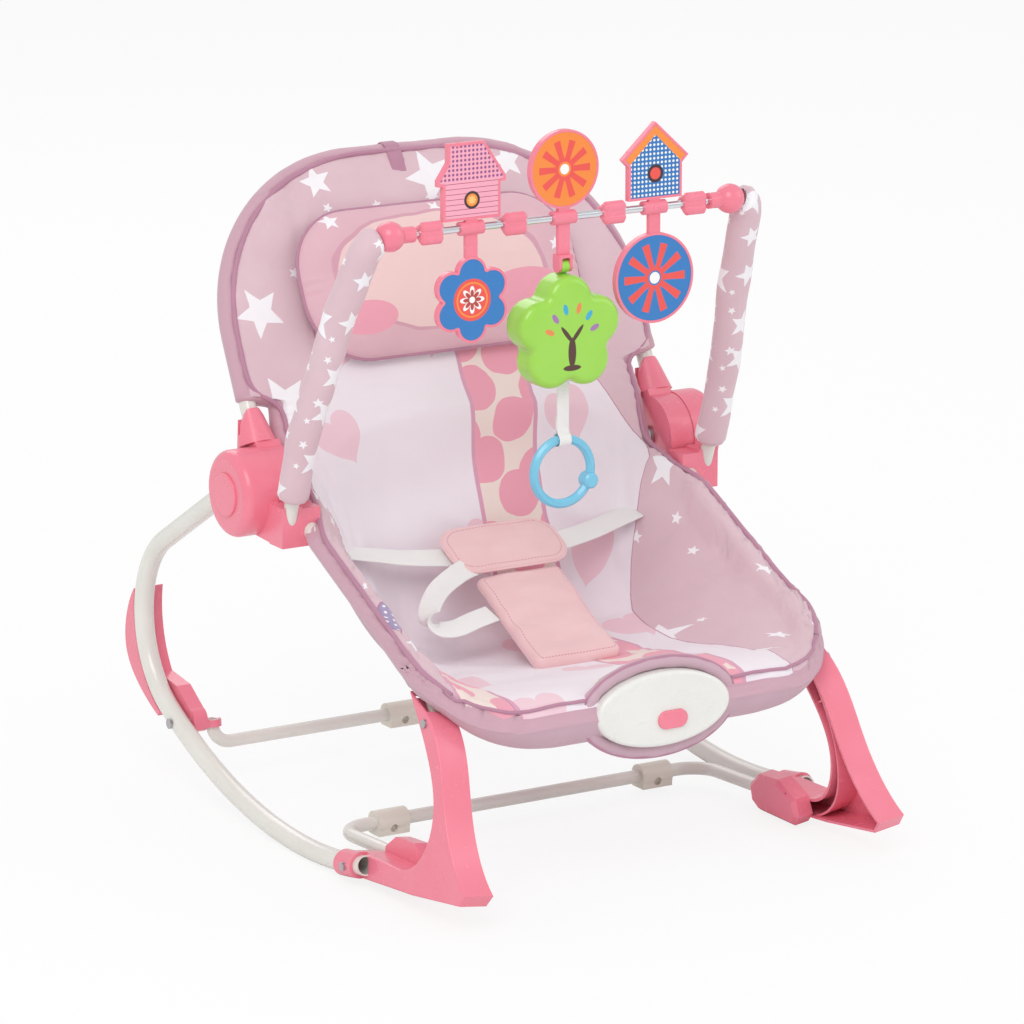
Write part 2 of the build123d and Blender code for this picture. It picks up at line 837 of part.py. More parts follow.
def recline_arm():
    """A disc on the hub axle with a tapered tower that grips the back tube, split into two tongues."""
    outer_x = drum_inner_x - arm_gap
    disc = hub_bar(arm_inner_x, outer_x, arm_radius)
    neck = extrude(
        back_plane(-tower_neck_width / 2)
        * Pos((arm_inner_x + outer_x) / 2, tower_base_u / 2)
        * Rectangle(outer_x - arm_inner_x, tower_base_u),
        tower_neck_width,
    )
    up = back_point(0, tower_tip_u) - back_point(0, 0)
    base = Plane(origin=back_point(back_tube_x, tower_base_u), z_dir=up)
    tower = base * Cone(
        tower_base_radius,
        tower_tip_radius,
        tower_tip_u - tower_base_u,
        align=(Align.CENTER, Align.CENTER, Align.MIN),
    )
    body = disc + neck + tower
    rear_cut = extrude(
        back_plane(-tower_base_radius * 2) * Pos(back_tube_x, (tower_rear_top_u + tower_tip_u) / 2 + cut_over)
        * Rectangle(tower_cut_width, tower_tip_u - tower_rear_top_u + cut_over * 2),
        tower_base_radius * 2,
    )
    slot = extrude(
        back_plane(-tower_slot / 2) * Pos(back_tube_x, (tower_slot_u + tower_tip_u) / 2 + cut_over)
        * Rectangle(tower_cut_width, tower_tip_u - tower_slot_u + cut_over * 2),
        tower_slot,
    )
    for side in (-1, 1):
        corner = polygon(
            (back_tube_x + side * tower_point, tower_tip_u + cut_over),
            (back_tube_x + side * tower_base_radius, tower_tip_u + cut_over),
            (back_tube_x + side * tower_base_radius, tower_slot_u),
        )
        rear_cut = rear_cut + extrude(back_plane() * corner, tower_base_radius)
    bore = base * Pos(0, 0, back_tube_bottom_u - tower_base_u) * Cylinder(
        back_d / 2 + fit_gap, tower_tip_u, align=(Align.CENTER, Align.CENTER, Align.MIN)
    )
    recess = hub_bar(outer_x - arm_recess_depth, outer_x + cut_over, gear_pocket_radius)
    hole = hub_bar(arm_inner_x - cut_over, outer_x + cut_over, axle_radius + run_gap)
    return body - rear_cut - slot - bore - recess - hole


# Seat cover, back cover, pillow and harness


def tube_line_z(y):
    slope = (seat_rear_z - seat_front_z) / (seat_rear_y - seat_front_y)
    return seat_rear_z - (seat_rear_y - y) * slope


def front_edge_y(x):
    """The front edge runs straight across and follows the tube round its corners."""
    corner_x = seat_front_x - seat_corner_radius
    reach = seat_corner_radius + seat_front_y - cover_front_y
    if abs(x) <= corner_x:
        return cover_front_y
    across = min(abs(x) - corner_x, seat_corner_radius)
    return seat_front_y + seat_corner_radius - math.sqrt(reach**2 - across**2)


def cover_point(centre, side_share, lift, side_weight, front_y):
    share_y, share_z = centre
    middle_y = cover_rear_y - share_y * (cover_rear_y - front_y)
    middle_z = cover_low_z + share_z * cover_rise
    side_y = cover_rear_y - side_share * (cover_rear_y - front_y)
    side_z = tube_line_z(side_y) + lift
    keep = 1 - side_weight
    return (middle_y * keep + side_y * side_weight, middle_z * keep + side_z * side_weight)


def cover_section(x, weight):
    front_y = front_edge_y(x)
    half = cover_side_height / 2
    top = [cover_point(c, s, half, weight, front_y) for c, s in zip(cover_top_shares, cover_side_top_shares)]
    under_pairs = zip(cover_under_shares, cover_side_under_shares)
    under = [cover_point(c, s, -half, weight, front_y) for c, s in under_pairs]
    upper = Spline(*top)
    nose = ThreePointArc(top[-1], (front_y, (top[-1][1] + under[0][1]) / 2), under[0])
    lower = Spline(*under)
    section = make_face([upper, nose, lower, Line(under[-1], top[0])])
    return Plane.YZ.offset(x) * section


def seat_cover():
    stations = [(share * cover_side_x, weight) for share, weight in cover_station_shares]
    half = loft([cover_section(x, weight) for x, weight in stations], ruled=True)
    body = half + mirrored(half)
    for side in (-1, 1):
        body = body - block(
            side * cover_side_inner_x, side * rail_x, cover_hub_y, hub_y + drum_radius, 0, hub_z + drum_radius
        )
        body = body - block(
            side * (clip_inner_x - seat_d), side * rail_x, clip_notch_front_y, clip_notch_rear_y, 0, hub_z
        )
    body = body - swept(seat_path(), seat_d / 2 + soft_gap)
    return body - unit_outline(soft_gap, cover_front_y - unit_height, unit_rear_y() + soft_gap)


def back_cover():
    """A flat padded panel that the back tube runs through, stepped in at the arms."""
    half = back_tube_x + back_cover_margin
    top = back_tube_top_u + back_cover_margin
    outline = polygon(
        (-back_cover_inner_x, back_cover_bottom_u),
        (back_cover_inner_x, back_cover_bottom_u),
        (back_cover_inner_x, back_cover_step_u),
        (half, back_cover_step_u),
        (half, top),
        (-half, top),
        (-half, back_cover_step_u),
        (-back_cover_inner_x, back_cover_step_u),
    )
    corners = outline.vertices().group_by(Axis.Y)[-1]
    outline = fillet(corners, back_corner_radius + back_cover_margin)
    panel = extrude(back_plane(-back_cover_rear) * outline, back_cover_rear + back_cover_front)
    return panel - swept(back_path(), back_d / 2 + soft_gap)


def head_pillow():
    middle_u = (pillow_bottom_u + pillow_top_u) / 2
    shape = Pos(0, middle_u) * RectangleRounded(pillow_width, pillow_top_u - pillow_bottom_u, pillow_corner)
    body = extrude(back_plane(back_cover_front + soft_gap) * shape, pillow_thick)
    return fillet(body.faces().sort_by(Axis.Y)[0].edges(), pillow_edge)


def pillow_strap():
    """A ribbon from the pillow over the top edge of the back and down behind it."""
    top_u = back_tube_top_u + back_cover_margin + soft_gap
    front_n = back_cover_front + soft_gap
    rear_n = -back_cover_rear - soft_gap
    up = back_point(0, pillow_top_u) - back_point(0, 0)
    side_view = Plane(origin=back_point(strap_x - strap_width / 2, 0), x_dir=up, z_dir=(1, 0, 0))
    low_u = pillow_top_u + soft_gap
    outline = polygon(
        (low_u, front_n),
        (top_u, front_n),
        (top_u, rear_n),
        (pillow_top_u, rear_n),
        (pillow_top_u, rear_n - strap_thick),
        (top_u + strap_thick, rear_n - strap_thick),
        (top_u + strap_thick, front_n + strap_thick),
        (low_u, front_n + strap_thick),
    )
    return extrude(side_view * outline, strap_width)


def crotch_pad():
    line = Spline(
        (crotch_front_y, crotch_front_z), (crotch_middle_y, crotch_middle_z), (crotch_rear_y, crotch_rear_z)
    )
    return side_plate(trace(line, crotch_thick), -crotch_width / 2, crotch_width / 2)


def flap_plane():
    lean = math.radians(flap_tilt)
    return Plane(
        origin=(0, flap_y, flap_z), x_dir=(1, 0, 0), z_dir=(0, -math.cos(lean), math.sin(lean))
    )


def crotch_flap():
    shape = RectangleRounded(flap_width, flap_height, flap_corner)
    return extrude(flap_plane() * shape, flap_thick)


def waist_strap():
    path = Polyline(
        (webbing_inner_x, flap_y, flap_z - webbing_thick),
        (webbing_outer_x, webbing_outer_y, webbing_outer_z),
    )
    section = Plane(origin=path @ 0, x_dir=flap_plane().z_dir, z_dir=path % 0) * Rectangle(
        webbing_thick, webbing_width
    )
    return sweep(section, path=path)


# Vibration unit


def unit_rear_y():
    return unit_front_y + unit_front_depth + unit_rear_depth


def unit_outline(margin, y_from, y_to):
    face = Ellipse(unit_width / 2 + margin, unit_height / 2 + margin)
    return front_plate(face, 0, unit_z, y_from, y_to - y_from)


def unit_button_slot(margin, y_from, y_to):
    face = SlotOverall(unit_button_width + 2 * margin, unit_button_height + 2 * margin)
    return front_plate(face, unit_button_x, unit_z - unit_button_drop, y_from, y_to - y_from)


def bar_y(x, z, y_from, y_to, radius):
    return front_plate(Circle(radius), x, z, y_from, y_to - y_from)


def unit_screw_bar(side, y_from, y_to, radius):
    return bar_y(side * unit_screw_x, unit_z - unit_screw_drop, y_from, y_to, radius)


def unit_cover():
    split_y = unit_front_y + unit_front_depth
    shell = unit_outline(0, unit_front_y, split_y)
    shell = fillet(shell.edges().group_by(Axis.Y)[0], unit_edge)
    shell = shell - unit_outline(-unit_wall, unit_front_y + unit_wall, split_y + cut_over)
    shell = shell - unit_button_slot(fit_gap, unit_front_y - cut_over, split_y)
    for side in (-1, 1):
        boss_y = unit_front_y + unit_wall - fit_gap
        room_y = unit_front_y + unit_screw_room_depth
        shell = shell + unit_screw_bar(side, boss_y, split_y, unit_boss_radius)
        shell = shell - unit_screw_bar(side, room_y, split_y + cut_over, unit_screw_radius + fit_gap)
    return shell


def battery_bay(margin, y_from, y_to):
    middle_z = unit_z - cell_drop
    reach = cell_radius + bay_margin + margin
    half = bay_half_width + margin
    return block(-half, half, y_from, y_to, middle_z - reach, middle_z + reach)


def unit_base():
    """The rear half, clamped round the front bar, with a battery bay open to the rear."""
    split_y = unit_front_y + unit_front_depth
    body = unit_outline(0, split_y, unit_rear_y())
    body = body - swept(seat_path(), seat_d / 2 + fit_gap)
    body = body - battery_bay(0, split_y + unit_wall, unit_rear_y() + cut_over)
    body = body - battery_bay(unit_wall / 2, unit_rear_y() - unit_wall, unit_rear_y() + cut_over)
    for side in (-1, 1):
        end_y = unit_rear_y() + cut_over
        body = body - unit_screw_bar(side, split_y - cut_over, end_y, unit_screw_radius + fit_gap)
        body = body - unit_screw_bar(side, unit_rear_y() - unit_wall, end_y, unit_boss_radius + fit_gap)
    return body


def battery_door():
    return battery_bay(unit_wall / 2 - fit_gap, unit_rear_y() - unit_wall + fit_gap, unit_rear_y())


def unit_batteries():
    bay_front_y = unit_front_y + unit_front_depth + unit_wall
    cells = [
        bar_x(bay_front_y + cell_radius + bay_margin, unit_z - cell_drop, x, x + cell_length, cell_radius)
        for x in (bay_margin, -bay_margin - cell_length)
    ]
    return cells[0] + cells[1]


def unit_motor():
    seat_y = unit_front_y + unit_front_depth
    centre_y = seat_y - motor_radius - bay_margin
    can = bar_x(centre_y, unit_z, motor_x, motor_x + motor_length, motor_radius)
    weight = bar_x(centre_y, unit_z, motor_x - motor_weight_length, motor_x, motor_weight_radius)
    upper = block(
        motor_x - motor_length, motor_x, seat_y - unit_front_depth, seat_y, unit_z, unit_z + motor_length
    )
    return can + (weight & upper)


def unit_button():
    inner_y = unit_front_y + unit_wall + unit_button_flange_thick
    front = unit_button_slot(0, unit_front_y - unit_button_proud, inner_y)
    front = fillet(front.edges().group_by(Axis.Y)[0], unit_button_proud / 2)
    flange_y = unit_front_y + unit_wall + fit_gap
    return front + unit_button_slot(unit_button_flange, flange_y, flange_y + unit_button_flange_thick)


def unit_screws():
    """Two screws from the rear into the cover's bosses."""
    screws = []
    for side in (-1, 1):
        tip_y = unit_front_y + unit_screw_tip_depth
        head_y = unit_rear_y() - unit_wall + fit_gap
        shank = unit_screw_bar(side, tip_y, unit_rear_y() - cut_over, unit_screw_radius)
        head = unit_screw_bar(side, head_y, unit_rear_y() - unit_screw_head_sink, unit_boss_radius)
        screws.append(shank + head)
    return screws[0] + screws[1]


# Toy bar


def toy_bar_path():
    return FilletPolyline(
        (bar_foot_x, bar_foot_y, bar_foot_z),
        (bar_foot_x, bar_knee_y, bar_knee_z),
        (bar_shoulder_x, bar_shoulder_y, bar_shoulder_z),
        (bar_top_x, rod_y, rod_z),
        (bar_end_x, rod_y, rod_z),
        radius=[bar_knee_radius, bar_shoulder_radius, bar_top_radius],
    )


def bar_wire():
    return Wire(toy_bar_path().edges())


def toy_bar_leg():
    return swept_tube(bar_wire(), bar_tube_d, bar_tube_wall)


def toy_bar_cap():
    """A ball over the end of the leg with a neck that holds the rod."""
    ball = Pos(cap_x, rod_y, rod_z) * Rot(0, 0, quarter_turn) * Sphere(cap_radius)
    neck = bar_x(rod_y, rod_z, cap_neck_x, cap_x, cap_neck_radius)
    rod_room = bar_x(rod_y, rod_z, cap_neck_x - cut_over, rod_half + run_gap, rod_d / 2 + run_gap)
    return ball + neck - swept(bar_wire(), bar_tube_d / 2 + fit_gap) - rod_room


def leg_sleeve():
    """Padded fabric tube over the leg."""
    body = swept_tube(bar_wire(), bar_sleeve_d, (bar_sleeve_d - bar_tube_d) / 2 - fit_gap)
    body = body & block(
        sleeve_inner_x, drum_outer_x, rod_y - bar_sleeve_d, hub_y, sleeve_bottom_z, rod_z + bar_sleeve_d
    )
    return body - Pos(cap_x, rod_y, rod_z) * Sphere(cap_radius + soft_gap)


def toy_rod():
    return bar_x(rod_y, rod_z, -rod_half, rod_half, rod_d / 2)


def bead(x):
    """A three-lobed bead that spins on the rod."""
    lobes = Circle(bead_core_radius)
    for place in PolarLocations(bead_radius - bead_lobe_radius, bead_lobes):
        lobes = lobes + place * Circle(bead_lobe_radius)
    plane = Plane(origin=(x - bead_length / 2, rod_y, rod_z), x_dir=(0, 1, 0), z_dir=(1, 0, 0))
    body = extrude(plane * lobes, bead_length)
    body = chamfer(body.edges().group_by(Axis.X)[0] + body.edges().group_by(Axis.X)[-1], bead_edge)
    return body - bar_x(rod_y, rod_z, x - bead_length, x + bead_length, rod_d / 2 + sleeve_bore_gap)


# Toys


def toy_plate(face, x, z, thick=toy_thick):
    return front_plate(face, x, z, rod_y - thick / 2, thick)


def rimmed(face, x, z):
    """A plate with a raised rim and shallow beds for the printed discs, front and back."""
    bed = offset(face, amount=-toy_rim)
    front_bed = front_plate(bed, x, z, rod_y - toy_thick / 2 - cut_over, plate_thick + cut_over)
    rear_bed = front_plate(bed, x, z, rod_y + toy_thick / 2 - plate_thick, plate_thick + cut_over)
    return toy_plate(face, x, z) - front_bed - rear_bed


def bed_plates(face, x, z):
    sheet = offset(face, amount=-toy_rim - fit_gap)
    front = front_plate(sheet, x, z, rod_y - toy_thick / 2 + fit_gap, plate_thick - fit_gap)
    rear = front_plate(sheet, x, z, rod_y + toy_thick / 2 - plate_thick, plate_thick - fit_gap)
    return front + rear


def house_outline():
    half = house_width / 2
    wall = half - house_eaves
    chimney_x = half * chimney_share
    walls = Pos(0, house_wall_height / 2) * Rectangle(wall * 2, house_wall_height)
    roof = polygon(
        (-half, house_wall_height - house_eaves),
        (half, house_wall_height - house_eaves),
        (half, house_wall_height),
        (house_ridge, house_wall_height + house_roof_height),
        (-house_ridge, house_wall_height + house_roof_height),
        (-half, house_wall_height),
    )
    chimney = Pos(chimney_x, house_wall_height + house_roof_height - chimney_height / 2) * Rectangle(
        chimney_width, chimney_height
    )
    return walls + roof + chimney


def birdhouse_outline():
    half = birdhouse_width / 2
    wall = half - birdhouse_eaves
    walls = Pos(0, birdhouse_wall / 2) * Rectangle(wall * 2, birdhouse_wall)
    roof = polygon(
        (-half, birdhouse_wall - birdhouse_eaves),
        (-wall, birdhouse_wall - 2 * birdhouse_eaves),
        (wall, birdhouse_wall - 2 * birdhouse_eaves),
        (half, birdhouse_wall - birdhouse_eaves),
        (0, birdhouse_height),
    )
    return walls + roof


def flower_outline():
    face = Circle(flower_core)
    for place in PolarLocations(flower_radius - flower_petal_radius, flower_petals, start_angle=quarter_turn):
        face = face + place * Circle(flower_petal_radius)
    return face


def carrier(x, z_from, z_to):
    """Sleeve on the rod with a stalk that carries the plaques."""
    sleeve = bar_x(rod_y, rod_z, x - toy_sleeve_length / 2, x + toy_sleeve_length / 2, toy_sleeve_radius)
    half_width, half_thick = stalk_width / 2, stalk_thick / 2
    stalk = block(x - half_width, x + half_width, rod_y - half_thick, rod_y + half_thick, z_from, z_to)
    return sleeve + stalk


def rod_bore(x):
    return bar_x(rod_y, rod_z, x - toy_sleeve_length, x + toy_sleeve_length, rod_d / 2 + sleeve_bore_gap)


def house_toy_frame():
    body = carrier(-toy_x, rod_z - low_toy_drop + flower_radius - toy_rim, rod_z + plate_above + toy_rim)
    body = body + rimmed(house_outline(), -toy_x, rod_z + plate_above)
    return body + rimmed(flower_outline(), -toy_x, rod_z - low_toy_drop) - rod_bore(-toy_x)


def house_toy_plates():
    house = bed_plates(house_outline(), -toy_x, rod_z + plate_above)
    return house + bed_plates(flower_outline(), -toy_x, rod_z - low_toy_drop)


def birdhouse_toy_frame():
    body = carrier(toy_x, rod_z - low_toy_drop + wheel_radius - toy_rim, rod_z + plate_above + toy_rim)
    body = body + rimmed(birdhouse_outline(), toy_x, rod_z + plate_above)
    return body + rimmed(Circle(wheel_radius), toy_x, rod_z - low_toy_drop) - rod_bore(toy_x)


def birdhouse_toy_plates():
    house = bed_plates(birdhouse_outline(), toy_x, rod_z + plate_above)
    return house + bed_plates(Circle(wheel_radius), toy_x, rod_z - low_toy_drop)


def disc_toy_frame():
    """The middle toy: a spoked disc above the rod and two ears with a pin below it."""
    body = carrier(0, rod_z - ear_top_drop, rod_z + disc_rise - top_disc_radius + toy_rim)
    body = body + rimmed(Circle(top_disc_radius), 0, rod_z + disc_rise)
    yoke = block(
        -ear_inner_x - ear_width, ear_inner_x + ear_width, rod_y - ear_radius, rod_y + ear_radius,
        rod_z - ear_top_drop - ear_width, rod_z - ear_top_drop
    )
    body = body + yoke
    for side in (-1, 1):
        near = min(side * ear_inner_x, side * (ear_inner_x + ear_width))
        body = body + bar_x(rod_y, rod_z - ear_drop, near, near + ear_width, ear_radius)
        low_z, high_z = rod_z - ear_drop, rod_z - ear_top_drop
        body = body + block(near, near + ear_width, rod_y - ear_radius, rod_y + ear_radius, low_z, high_z)
    pin = bar_x(rod_y, rod_z - ear_drop, -ear_inner_x - ear_width, ear_inner_x + ear_width, rattle_pin_radius)
    return body + pin - rod_bore(0)


def disc_toy_plate():
    return bed_plates(Circle(top_disc_radius), 0, rod_z + disc_rise)


def rattle_outline(wall=0):
    face = Circle(rattle_core_radius - wall)
    lobe_reach = rattle_width / 2 - rattle_lobe_radius
    for place in PolarLocations(lobe_reach, rattle_lobes, start_angle=quarter_turn):
        face = face + place * Circle(rattle_lobe_radius - wall)
    return fillet(face.vertices(), rattle_blend + wall)


def rattle_shell(front):
    """One half of a hollow lobed shell, rounded at the outer edge."""
    depth = rattle_thick / 2
    y_from = rod_y - depth if front else rod_y
    outline = rattle_outline()
    full = front_plate(outline, 0, rod_z - rattle_drop, y_from, depth)
    edges = full.edges().group_by(Axis.Y)[0 if front else -1]
    full = fillet(edges, rattle_edge)
    inside = rattle_outline(rattle_wall)
    inside_y = y_from + rattle_wall if front else y_from - cut_over
    hollow = front_plate(inside, 0, rod_z - rattle_drop, inside_y, depth - rattle_wall + cut_over)
    hollow_edges = hollow.edges().group_by(Axis.Y)[0 if front else -1]
    return full - fillet(hollow_edges, rattle_edge - rattle_wall)


def rattle_back():
    lug = bar_x(rod_y, rod_z - ear_drop, -rattle_lug_half, rattle_lug_half, rattle_lug_radius)
    root_z = rod_z - rattle_drop + rattle_width / 2 - rattle_root_depth
    root = block(
        -rattle_lug_half, rattle_lug_half, rod_y, rod_y + rattle_lug_radius, root_z, rod_z - ear_drop
    )
    pin_hole = bar_x(rod_y, rod_z - ear_drop, -ear_inner_x, ear_inner_x, rattle_pin_radius + run_gap)
    return rattle_shell(False) + lug + root - pin_hole


def ribbon():
    """Webbing from the rattle's lower edge to a loop round the ring."""
    ring_top = rod_z - ring_pivot_drop - ribbon_length
    strip = block(
        -ribbon_width / 2, ribbon_width / 2, rod_y - ribbon_thick / 2, rod_y + ribbon_thick / 2,
        ring_top, rod_z - ring_pivot_drop
    )
    loop_z = ring_top - ring_section / 2
    loop_radius = ring_section / 2 + ribbon_slack + ribbon_thick
    loop = bar_x(rod_y, loop_z, -ribbon_width / 2, ribbon_width / 2, loop_radius)
    return strip + loop - bar_x(rod_y, loop_z, -ribbon_width, ribbon_width, ring_section / 2 + ribbon_slack)


def teething_ring():
    """A ring of eight-sided section with a round clasp over the join of its ends."""
    centre_z = rod_z - ring_pivot_drop - ribbon_length - ring_outer_radius
    middle = ring_outer_radius - ring_section / 2
    section = Pos(middle, 0) * Rot(0, 0, ring_section_turn) * RegularPolygon(ring_section / 2, ring_sides)
    section_plane = Plane(origin=(0, rod_y, centre_z), x_dir=(1, 0, 0), z_dir=(0, 0, 1))
    hoop = revolve(section_plane * section, Axis((0, rod_y, centre_z), (0, 1, 0)))
    front = Plane(origin=(0, rod_y, centre_z), x_dir=(1, 0, 0), z_dir=(0, -1, 0))
    turn = math.radians(ring_clasp_angle)
    clasp = front * Pos(middle * math.cos(turn), middle * math.sin(turn))
    ball = extrude(clasp * Circle(ring_clasp_radius), ring_clasp_radius, both=True)
    ball = chamfer(ball.edges().group_by(Axis.Y)[0] + ball.edges().group_by(Axis.Y)[-1], ring_clasp_edge)
    return hoop + ball


# Screws of the frame


def frame_screws():
    """Foot top screws and heel screws, right side."""
    (screw_y, screw_z), = foot_points([foot_screw_share])
    plate_x = foot_outer_x
    head = bar_x(screw_y, screw_z, plate_x, plate_x + screw_head_height, screw_head_radius)
    shank = bar_x(screw_y, screw_z, plate_x - foot_wall - screw_length, plate_x, screw_radius)
    top = lean_foot(head + shank)
    heel_z = rail_low_z(heel_screw_y)
    heel_x = rail_x + foot_collar_radius
    end_x = heel_x + screw_head_height
    heel = bar_x(heel_screw_y, heel_z, rail_x + rail_d / 2 + fit_gap, end_x, screw_radius)
    heel = heel + bar_x(heel_screw_y, heel_z, heel_x, end_x, screw_head_radius)
    return top + heel


# Every sub-part in its own file

save_sides(rail(), "rail")
save_sides(foot(), "front_foot")
save(swept_tube(brace_path(), brace_d, brace_wall), "front_brace")
save_pair(clamp_sleeve(sleeve_x, brace_bight_y, brace_bight_z, brace_path()), "brace_sleeves")
save_sides(brace_block(), "brace_block")
save_sides(hub_housing(), "hub_housing")
save_pair(hub_axle(), "hub_axles")
save_pair(button_spring(), "button_springs")
save(swept_tube(seat_path(), seat_d, seat_wall), "seat_tube")
save_pair(seat_clip(), "seat_clips")
save_pair(frame_screws(), "frame_screws")
save_pair(kick_bolts(), "kick_bolts")
save(seat_cover(), "seat_cover")
save(crotch_pad(), "crotch_pad")
save(crotch_flap(), "crotch_flap")
save_pair(waist_strap(), "waist_straps")
save(unit_cover(), "unit_cover")
save(unit_base(), "unit_base")
save(battery_door(), "battery_door")
save(unit_motor(), "unit_motor")
save(unit_batteries(), "unit_batteries")
save(unit_screws(), "unit_screws")
save(unit_button(), "unit_button")

save_sides(recline_arm(), "recline_arm")
save(swept_tube(back_path(), back_d, back_wall), "back_tube")
save(back_cover(), "back_cover")
save(head_pillow(), "head_pillow")
save(pillow_strap(), "pillow_strap")

save(swept_tube(kick_bar_path(), brace_d, brace_wall), "kick_bar")
save(clamp_sleeve(0, kick_bar_y, kick_bar_z, kick_bar_path()), "kick_sleeve")
save_sides(kick_foot(), "kick_foot")

save_sides(recline_button(), "recline_button")
save_sides(lock_gear(), "lock_gear")

save_pair(toy_bar_leg(), "toy_bar_legs")
save_pair(toy_bar_cap(), "toy_bar_caps")
save_pair(leg_sleeve(), "leg_sleeves")
save(toy_rod(), "toy_rod")
bead_places = {
    "left_outer": -bead_outer_x,
    "left_inner": -bead_inner_x,
    "right_inner": bead_inner_x,
    "right_outer": bead_outer_x,
}
for place_name, place_x in bead_places.items():
    save(bead(place_x), f"bead_{place_name}")

save(house_toy_frame(), "house_toy_frame")
save(house_toy_plates(), "house_toy_plates")
save(disc_toy_frame(), "disc_toy_frame")
save(disc_toy_plate(), "disc_toy_plate")
save(birdhouse_toy_frame(), "birdhouse_toy_frame")
save(birdhouse_toy_plates(), "birdhouse_toy_plates")
save(rattle_shell(True), "rattle_front")
save(rattle_back(), "rattle_back")
save(ribbon(), "ribbon")
save(teething_ring(), "teething_ring")
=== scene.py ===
# %% [markdown]
# # Dressing a bouncer seat
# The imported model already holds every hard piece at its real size. It comes in as a fixed frame:
# nothing in it is moved here. This script adds what makes it look real: the padded cloth, the
# printed cover, the finish of each plastic and metal, the light and the camera.

# %% Load the frame
import json
import math

import bpy
import numpy as np
from mathutils import Matrix, Vector


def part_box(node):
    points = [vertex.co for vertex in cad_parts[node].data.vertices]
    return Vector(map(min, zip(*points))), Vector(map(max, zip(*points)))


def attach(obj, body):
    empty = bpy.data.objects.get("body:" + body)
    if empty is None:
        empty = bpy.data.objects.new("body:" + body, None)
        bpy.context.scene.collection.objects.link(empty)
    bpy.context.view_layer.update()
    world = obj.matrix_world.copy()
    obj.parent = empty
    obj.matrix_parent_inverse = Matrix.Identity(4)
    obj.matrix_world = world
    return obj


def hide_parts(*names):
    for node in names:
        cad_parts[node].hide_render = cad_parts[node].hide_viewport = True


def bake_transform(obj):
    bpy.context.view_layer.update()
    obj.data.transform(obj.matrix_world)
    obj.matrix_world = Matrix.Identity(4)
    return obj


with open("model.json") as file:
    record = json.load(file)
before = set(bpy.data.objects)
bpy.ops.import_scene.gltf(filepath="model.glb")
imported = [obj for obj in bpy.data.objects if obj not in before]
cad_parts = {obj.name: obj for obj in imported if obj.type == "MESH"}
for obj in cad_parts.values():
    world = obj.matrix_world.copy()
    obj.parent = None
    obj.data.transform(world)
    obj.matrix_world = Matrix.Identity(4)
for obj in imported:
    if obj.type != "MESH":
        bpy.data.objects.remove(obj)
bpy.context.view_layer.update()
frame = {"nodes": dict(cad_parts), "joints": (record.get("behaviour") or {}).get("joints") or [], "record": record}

slot_of = {row["node"]: row["material_slot"] for row in frame["record"]["subparts"]}

# %% [markdown]
# ## The camera
# A product photograph is taken from far away with a long lens, so that near and far parts keep
# their size. A camera is a place and three directions: its right, its up, and backwards. Writing
# the three directions as the columns of a matrix is exact, where turning angles would be guesswork.

# %% Camera
camera_place = Vector((-2.44528, -4.07388, 1.47523))
camera_right = Vector((0.8571673, -0.51503807, 0.0))
camera_up = Vector((0.12459899, 0.20736754, 0.97029573))
lens_length = 182.8125
sensor_width = 36.0

camera_data = bpy.data.cameras.new("camera")
camera_data.lens = lens_length
camera_data.sensor_width = sensor_width
camera = bpy.data.objects.new("camera", camera_data)
turn = Matrix((camera_right, camera_up, camera_right.cross(camera_up))).transposed().to_4x4()
camera.matrix_world = Matrix.Translation(camera_place) @ turn
bpy.context.scene.collection.objects.link(camera)
bpy.context.scene.camera = camera
print("camera", round(camera_place.length, 2), "m from the middle of the seat")

# %% [markdown]
# ## Floor and light
# The studio is a white sweep under soft light. The world gives an even light from all sides, one
# large lamp from the upper left gives the plastic its highlight, and a second lamp fills the right
# side. The floor keeps a soft shadow: for the camera it is half shaded and half plain white.

# %% Floor, world and lamps
studio_size = 30.0
floor_white = (0.93, 0.93, 0.93, 1.0)
floor_glow_share = 0.84
sky_light = 0.72
lamps = [
    ("key_lamp", (-2.2, -2.4, 3.4), 2.4, 62.0),
    ("fill_lamp", (3.2, -2.0, 2.2), 2.6, 20.0),
    ("rear_lamp", (0.6, 3.2, 2.8), 2.2, 22.0),
]


def make_floor():
    half = studio_size / 2
    mesh = bpy.data.meshes.new("studio_floor")
    corners = [(-half, -half, 0), (half, -half, 0), (half, half, 0), (-half, half, 0)]
    mesh.from_pydata(corners, [], [(0, 1, 2, 3)])
    floor = bpy.data.objects.new("studio_floor", mesh)
    bpy.context.scene.collection.objects.link(floor)
    material = bpy.data.materials.new("studio_white")
    material.use_nodes = True
    tree = material.node_tree
    shaded = tree.nodes["Principled BSDF"]
    shaded.inputs["Base Color"].default_value = floor_white
    shaded.inputs["Roughness"].default_value = 0.9
    glow = tree.nodes.new("ShaderNodeEmission")
    glow.inputs["Color"].default_value = (1, 1, 1, 1)
    ray = tree.nodes.new("ShaderNodeLightPath")
    share = tree.nodes.new("ShaderNodeMath")
    share.operation = "MULTIPLY"
    share.inputs[1].default_value = floor_glow_share
    mix = tree.nodes.new("ShaderNodeMixShader")
    tree.links.new(ray.outputs["Is Camera Ray"], share.inputs[0])
    tree.links.new(share.outputs[0], mix.inputs[0])
    tree.links.new(shaded.outputs[0], mix.inputs[1])
    tree.links.new(glow.outputs[0], mix.inputs[2])
    tree.links.new(mix.outputs[0], tree.nodes["Material Output"].inputs["Surface"])
    mesh.materials.append(material)


